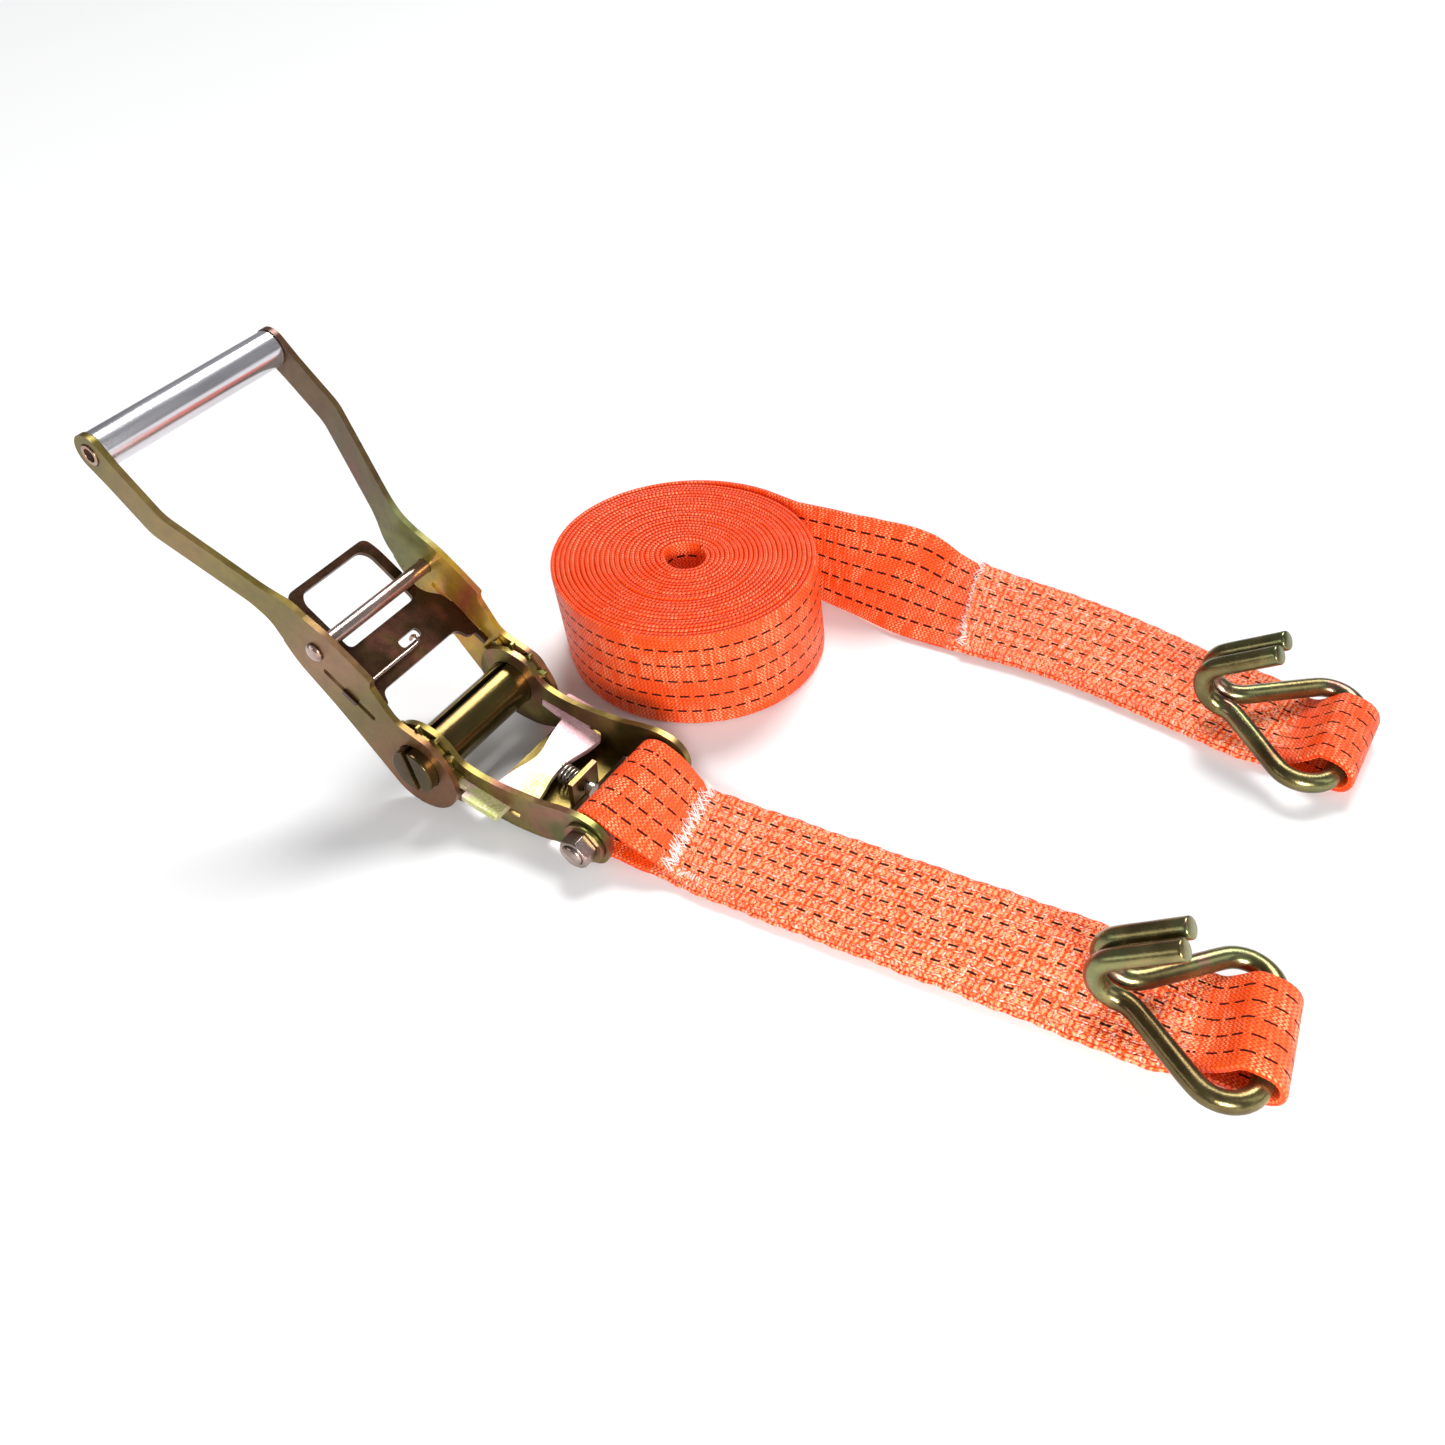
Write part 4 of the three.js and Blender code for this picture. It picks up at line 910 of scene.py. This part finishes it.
bar_tack("short_bar_tack", "short_strap_set", short_tack_spot, 66, 1.9)
bar_tack("short_edge_tack", "short_strap_set", short_edge_spot, 12, 0.8)
bar_tack("long_bar_tack", "long_strap_set", long_tack_spot, 66, 1.7)


# ------------------------------------------------------------------ hooks
HOOK_HALF = 29.5
HOOK_CORNER = 12
HOOK_NECK = 44
HOOK_SLOPE = math.radians(40)
CLAW_SPREAD = 4.9
CLAW_RADIUS = 11
CLAW_SWEEP = math.radians(141)
CLAW_ARM = 26


def hook_points():
    """One hook wire around its bar: the bar, a corner, a slanted side and a claw, then mirrored."""
    straight = HOOK_HALF - HOOK_CORNER
    side = [(0, 0, 0), (0, straight, 0)]
    bend = math.pi / 2 + HOOK_SLOPE
    corner_steps = 10
    for i in range(1, corner_steps + 1):
        turn = bend * i / corner_steps
        side.append((HOOK_CORNER * (math.cos(turn) - 1), straight + HOOK_CORNER * math.sin(turn), 0))
    side.append((-HOOK_NECK + 4, CLAW_SPREAD + 4.6, 0))
    side.append((-HOOK_NECK + 1, CLAW_SPREAD + 2.2, 0))
    side.append((-HOOK_NECK - 1.6, CLAW_SPREAD + 0.7, 0))
    centre = -HOOK_NECK - 4
    claw_steps = 12
    for i in range(claw_steps + 1):
        turn = CLAW_SWEEP * i / claw_steps
        side.append((
            centre - CLAW_RADIUS * math.sin(turn), CLAW_SPREAD, CLAW_RADIUS * (1 - math.cos(turn))))
    tip_x, _, tip_z = side[-1]
    for reach in (CLAW_ARM * 0.5, CLAW_ARM):
        x = tip_x - reach * math.cos(CLAW_SWEEP)
        z = tip_z + reach * math.sin(CLAW_SWEEP)
        side.append((x, CLAW_SPREAD, z))
    return [(x, -y, z) for x, y, z in reversed(side[1:])] + side


def hook(name, body, node, bar, yaw):
    turn = Matrix.Rotation(math.radians(yaw), 3, "Z") @ Matrix.Rotation(math.radians(HOOK_PITCH), 3, "Y")
    smooth, _ = spaced(hook_points(), 170)
    points = [place(*(Vector(bar) + turn @ p)) for p, _ in smooth]
    mesh = wire_mesh(name, points, WIRE * MM, 24)
    obj = new_object(name, mesh, hook_metal, body)
    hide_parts(node)


long_bar = on_tail(LONG_BAR, LONG_BAR_OFFSET, BAR_Z)
hook("short_hook_wire", "short_hook_set", "short_hook", SHORT_BAR, SHORT_YAW)
hook("long_hook_wire", "long_hook_set", "long_hook", long_bar, LONG_HOOK_YAW)


# ------------------------------------------------------------------ ratchet
for node, material, edge in (
    ("base_frame", frame_metal, 0.4),
    ("lock_pawl", lock_metal, 0.35),
    ("lock_spring_pin", spring_metal, 0.25),
    ("drum_half_rear", drum_metal, 0.5),
    ("drum_half_front", drum_metal, 0.5),
    ("ratchet_wheel_left", wheel_metal, 0.3),
    ("ratchet_wheel_right", wheel_metal, 0.3),
    ("handle_arm_left", arm_left_metal, 0.45),
    ("handle_arm_right", arm_right_metal, 0.45),
    ("grip_sleeve", grip_metal, 0.4),
    ("grip_core", pin_metal, 0.3),
    ("cross_pin", pin_metal, 0.3),
    ("drive_pawl", pawl_metal, 0.45),
    ("frame_bolt", bolt_metal, 0.4),
    ("bolt_nut", bolt_metal, 0.5),
    ("bolt_washer_left", frame_metal, 0.3),
    ("bolt_washer_right", frame_metal, 0.3),
    ("bolt_spacer", bolt_metal, 0.3),
):
    finish_metal(node, material, edge)

frame_along = Vector((math.cos(FRAME_TILT), 0, math.sin(FRAME_TILT)))
frame_up = Vector((-frame_along.z, 0, frame_along.x))
handle_up = Vector((math.sin(HANDLE_RISE), 0, math.cos(HANDLE_RISE)))
drum_point = Vector(DRUM)
Y_AXIS = Vector((0, 1, 0))


def slanted(along, up, start, slant):
    """Origin and two directions of a plane that starts at a point and slants by an angle."""
    angle = math.radians(slant)
    direction = along * math.cos(angle) + up * math.sin(angle)
    lift = up * math.cos(angle) - along * math.sin(angle)
    origin = drum_point + along * start[0] + up * start[1] - direction * start[0]
    return origin, direction, lift


lock_origin, lock_along, lock_up = slanted(frame_along, frame_up, (17.6, -3.4), -6.4)
drive_origin, drive_along, drive_up = slanted(handle_along, handle_up, (17, 0), -8)


def spring():
    """The lock pawl's coil spring, built as a fixed coil at rest."""
    start = lock_origin + lock_along * 48.7
    points = []
    turns = 5
    per_turn = 26
    length = 10.3
    radius = 4.2
    wire = 0.6
    for i in range(turns * per_turn + 1):
        f = i / (turns * per_turn)
        turn = f * turns * 2 * math.pi
        across = lock_up * math.cos(turn) + Y_AXIS * math.sin(turn)
        points.append(place(*(start + lock_along * (wire + f * (length - 2 * wire)) + across * radius)))
    mesh = wire_mesh("lock_spring_coil", points, wire * MM, 10, 0.2)
    obj = new_object("lock_spring_coil", mesh, spring_metal, "frame")
    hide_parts("lock_spring")
    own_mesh(obj)


def drive_wire():
    lift = 2.45
    route = [
        (40, -31.6, lift), (40, -20, lift), (40, -8, lift), (40, 3, lift), (40.4, 5, lift), (42, 6, lift),
        (43.4, 6, lift - 0.8), (44.2, 6, 0), (44.2, 6, -3.2),
    ]
    points = [drive_origin + drive_along * a + drive_up * up + Y_AXIS * y for a, y, up in route]
    smooth, _ = spaced(points, 60)
    mesh = wire_mesh("drive_spring_wire", [place(*p) for p, _ in smooth], 0.9 * MM, 12, 0.3)
    obj = new_object("drive_spring_wire", mesh, pin_metal, "drive_pawl_set")
    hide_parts("drive_spring")


spring()
drive_wire()


# ------------------------------------------------------------------ floor and light
FLOOR_HALF = 6
FLOOR_DROP = 0.0003


def floor():
    mesh = bpy.data.meshes.new("floor")
    corners = [(x * FLOOR_HALF, y * FLOOR_HALF, 0) for x, y in ((-1, -1), (1, -1), (1, 1), (-1, 1))]
    mesh.from_pydata(corners, [], [(0, 1, 2, 3)])
    s = Surface("floor_white", Roughness=0.9)
    s.shader.inputs["Specular IOR Level"].default_value = 0.1
    tone = s.noise(s.coordinates(1), 3, 2, 0.5)
    s.set("Base Color", s.mix(tone, (0.79, 0.79, 0.79, 1), (0.81, 0.81, 0.81, 1)))
    s.shader.inputs["Emission Color"].default_value = (1, 1, 1, 1)
    s.shader.inputs["Emission Strength"].default_value = 0.03
    mesh.materials.append(s.material)
    obj = bpy.data.objects.new("floor", mesh)
    obj.location.z = -FLOOR_DROP
    bpy.context.scene.collection.objects.link(obj)


def area_light(name, where, target, size, power):
    data = bpy.data.lights.new(name, "AREA")
    data.shape = "RECTANGLE"
    data.size, data.size_y = size
    data.energy = power
    lamp = bpy.data.objects.new(name, data)
    lamp.location = where
    aim = Vector(target) - Vector(where)
    lamp.rotation_euler = aim.to_track_quat("-Z", "Y").to_euler()
    bpy.context.scene.collection.objects.link(lamp)


def sun_light(direction, angle, strength):
    """Wide even light over the whole floor, with soft shadows."""
    data = bpy.data.lights.new("sky_panel", "SUN")
    data.energy = strength
    data.angle = math.radians(angle)
    lamp = bpy.data.objects.new("sky_panel", data)
    lamp.rotation_euler = (-Vector(direction)).to_track_quat("-Z", "Y").to_euler()
    bpy.context.scene.collection.objects.link(lamp)


def world():
    shell = bpy.data.worlds.new("studio")
    bpy.context.scene.world = shell
    shell.use_nodes = True
    background = shell.node_tree.nodes["Background"]
    background.inputs["Color"].default_value = (0.86, 0.88, 0.92, 1)
    background.inputs["Strength"].default_value = 0.2


floor()
world()
sun_light((-0.2, 0.87, 1.1), 32, 3.4)
area_light("key", (-0.4, 1.25, 2.1), (0, 0, 0), (0.8, 0.7), 9)
area_light("side", (1.4, 0.2, 0.9), (0, 0, 0.05), (0.5, 1.2), 4)
area_light("front", (0.95, -1.0, 0.5), (-0.05, 0.02, 0.03), (0.5, 0.4), 8)
area_light("coil_front", (0.42, -0.42, 0.2), (-0.06, -0.01, 0.02), (0.16, 0.12), 3.6)
area_light("low_left", (-0.9, -1.2, 0.6), (-0.1, 0, 0.05), (0.9, 0.3), 3)
bpy.context.scene.view_settings.view_transform = "Standard"
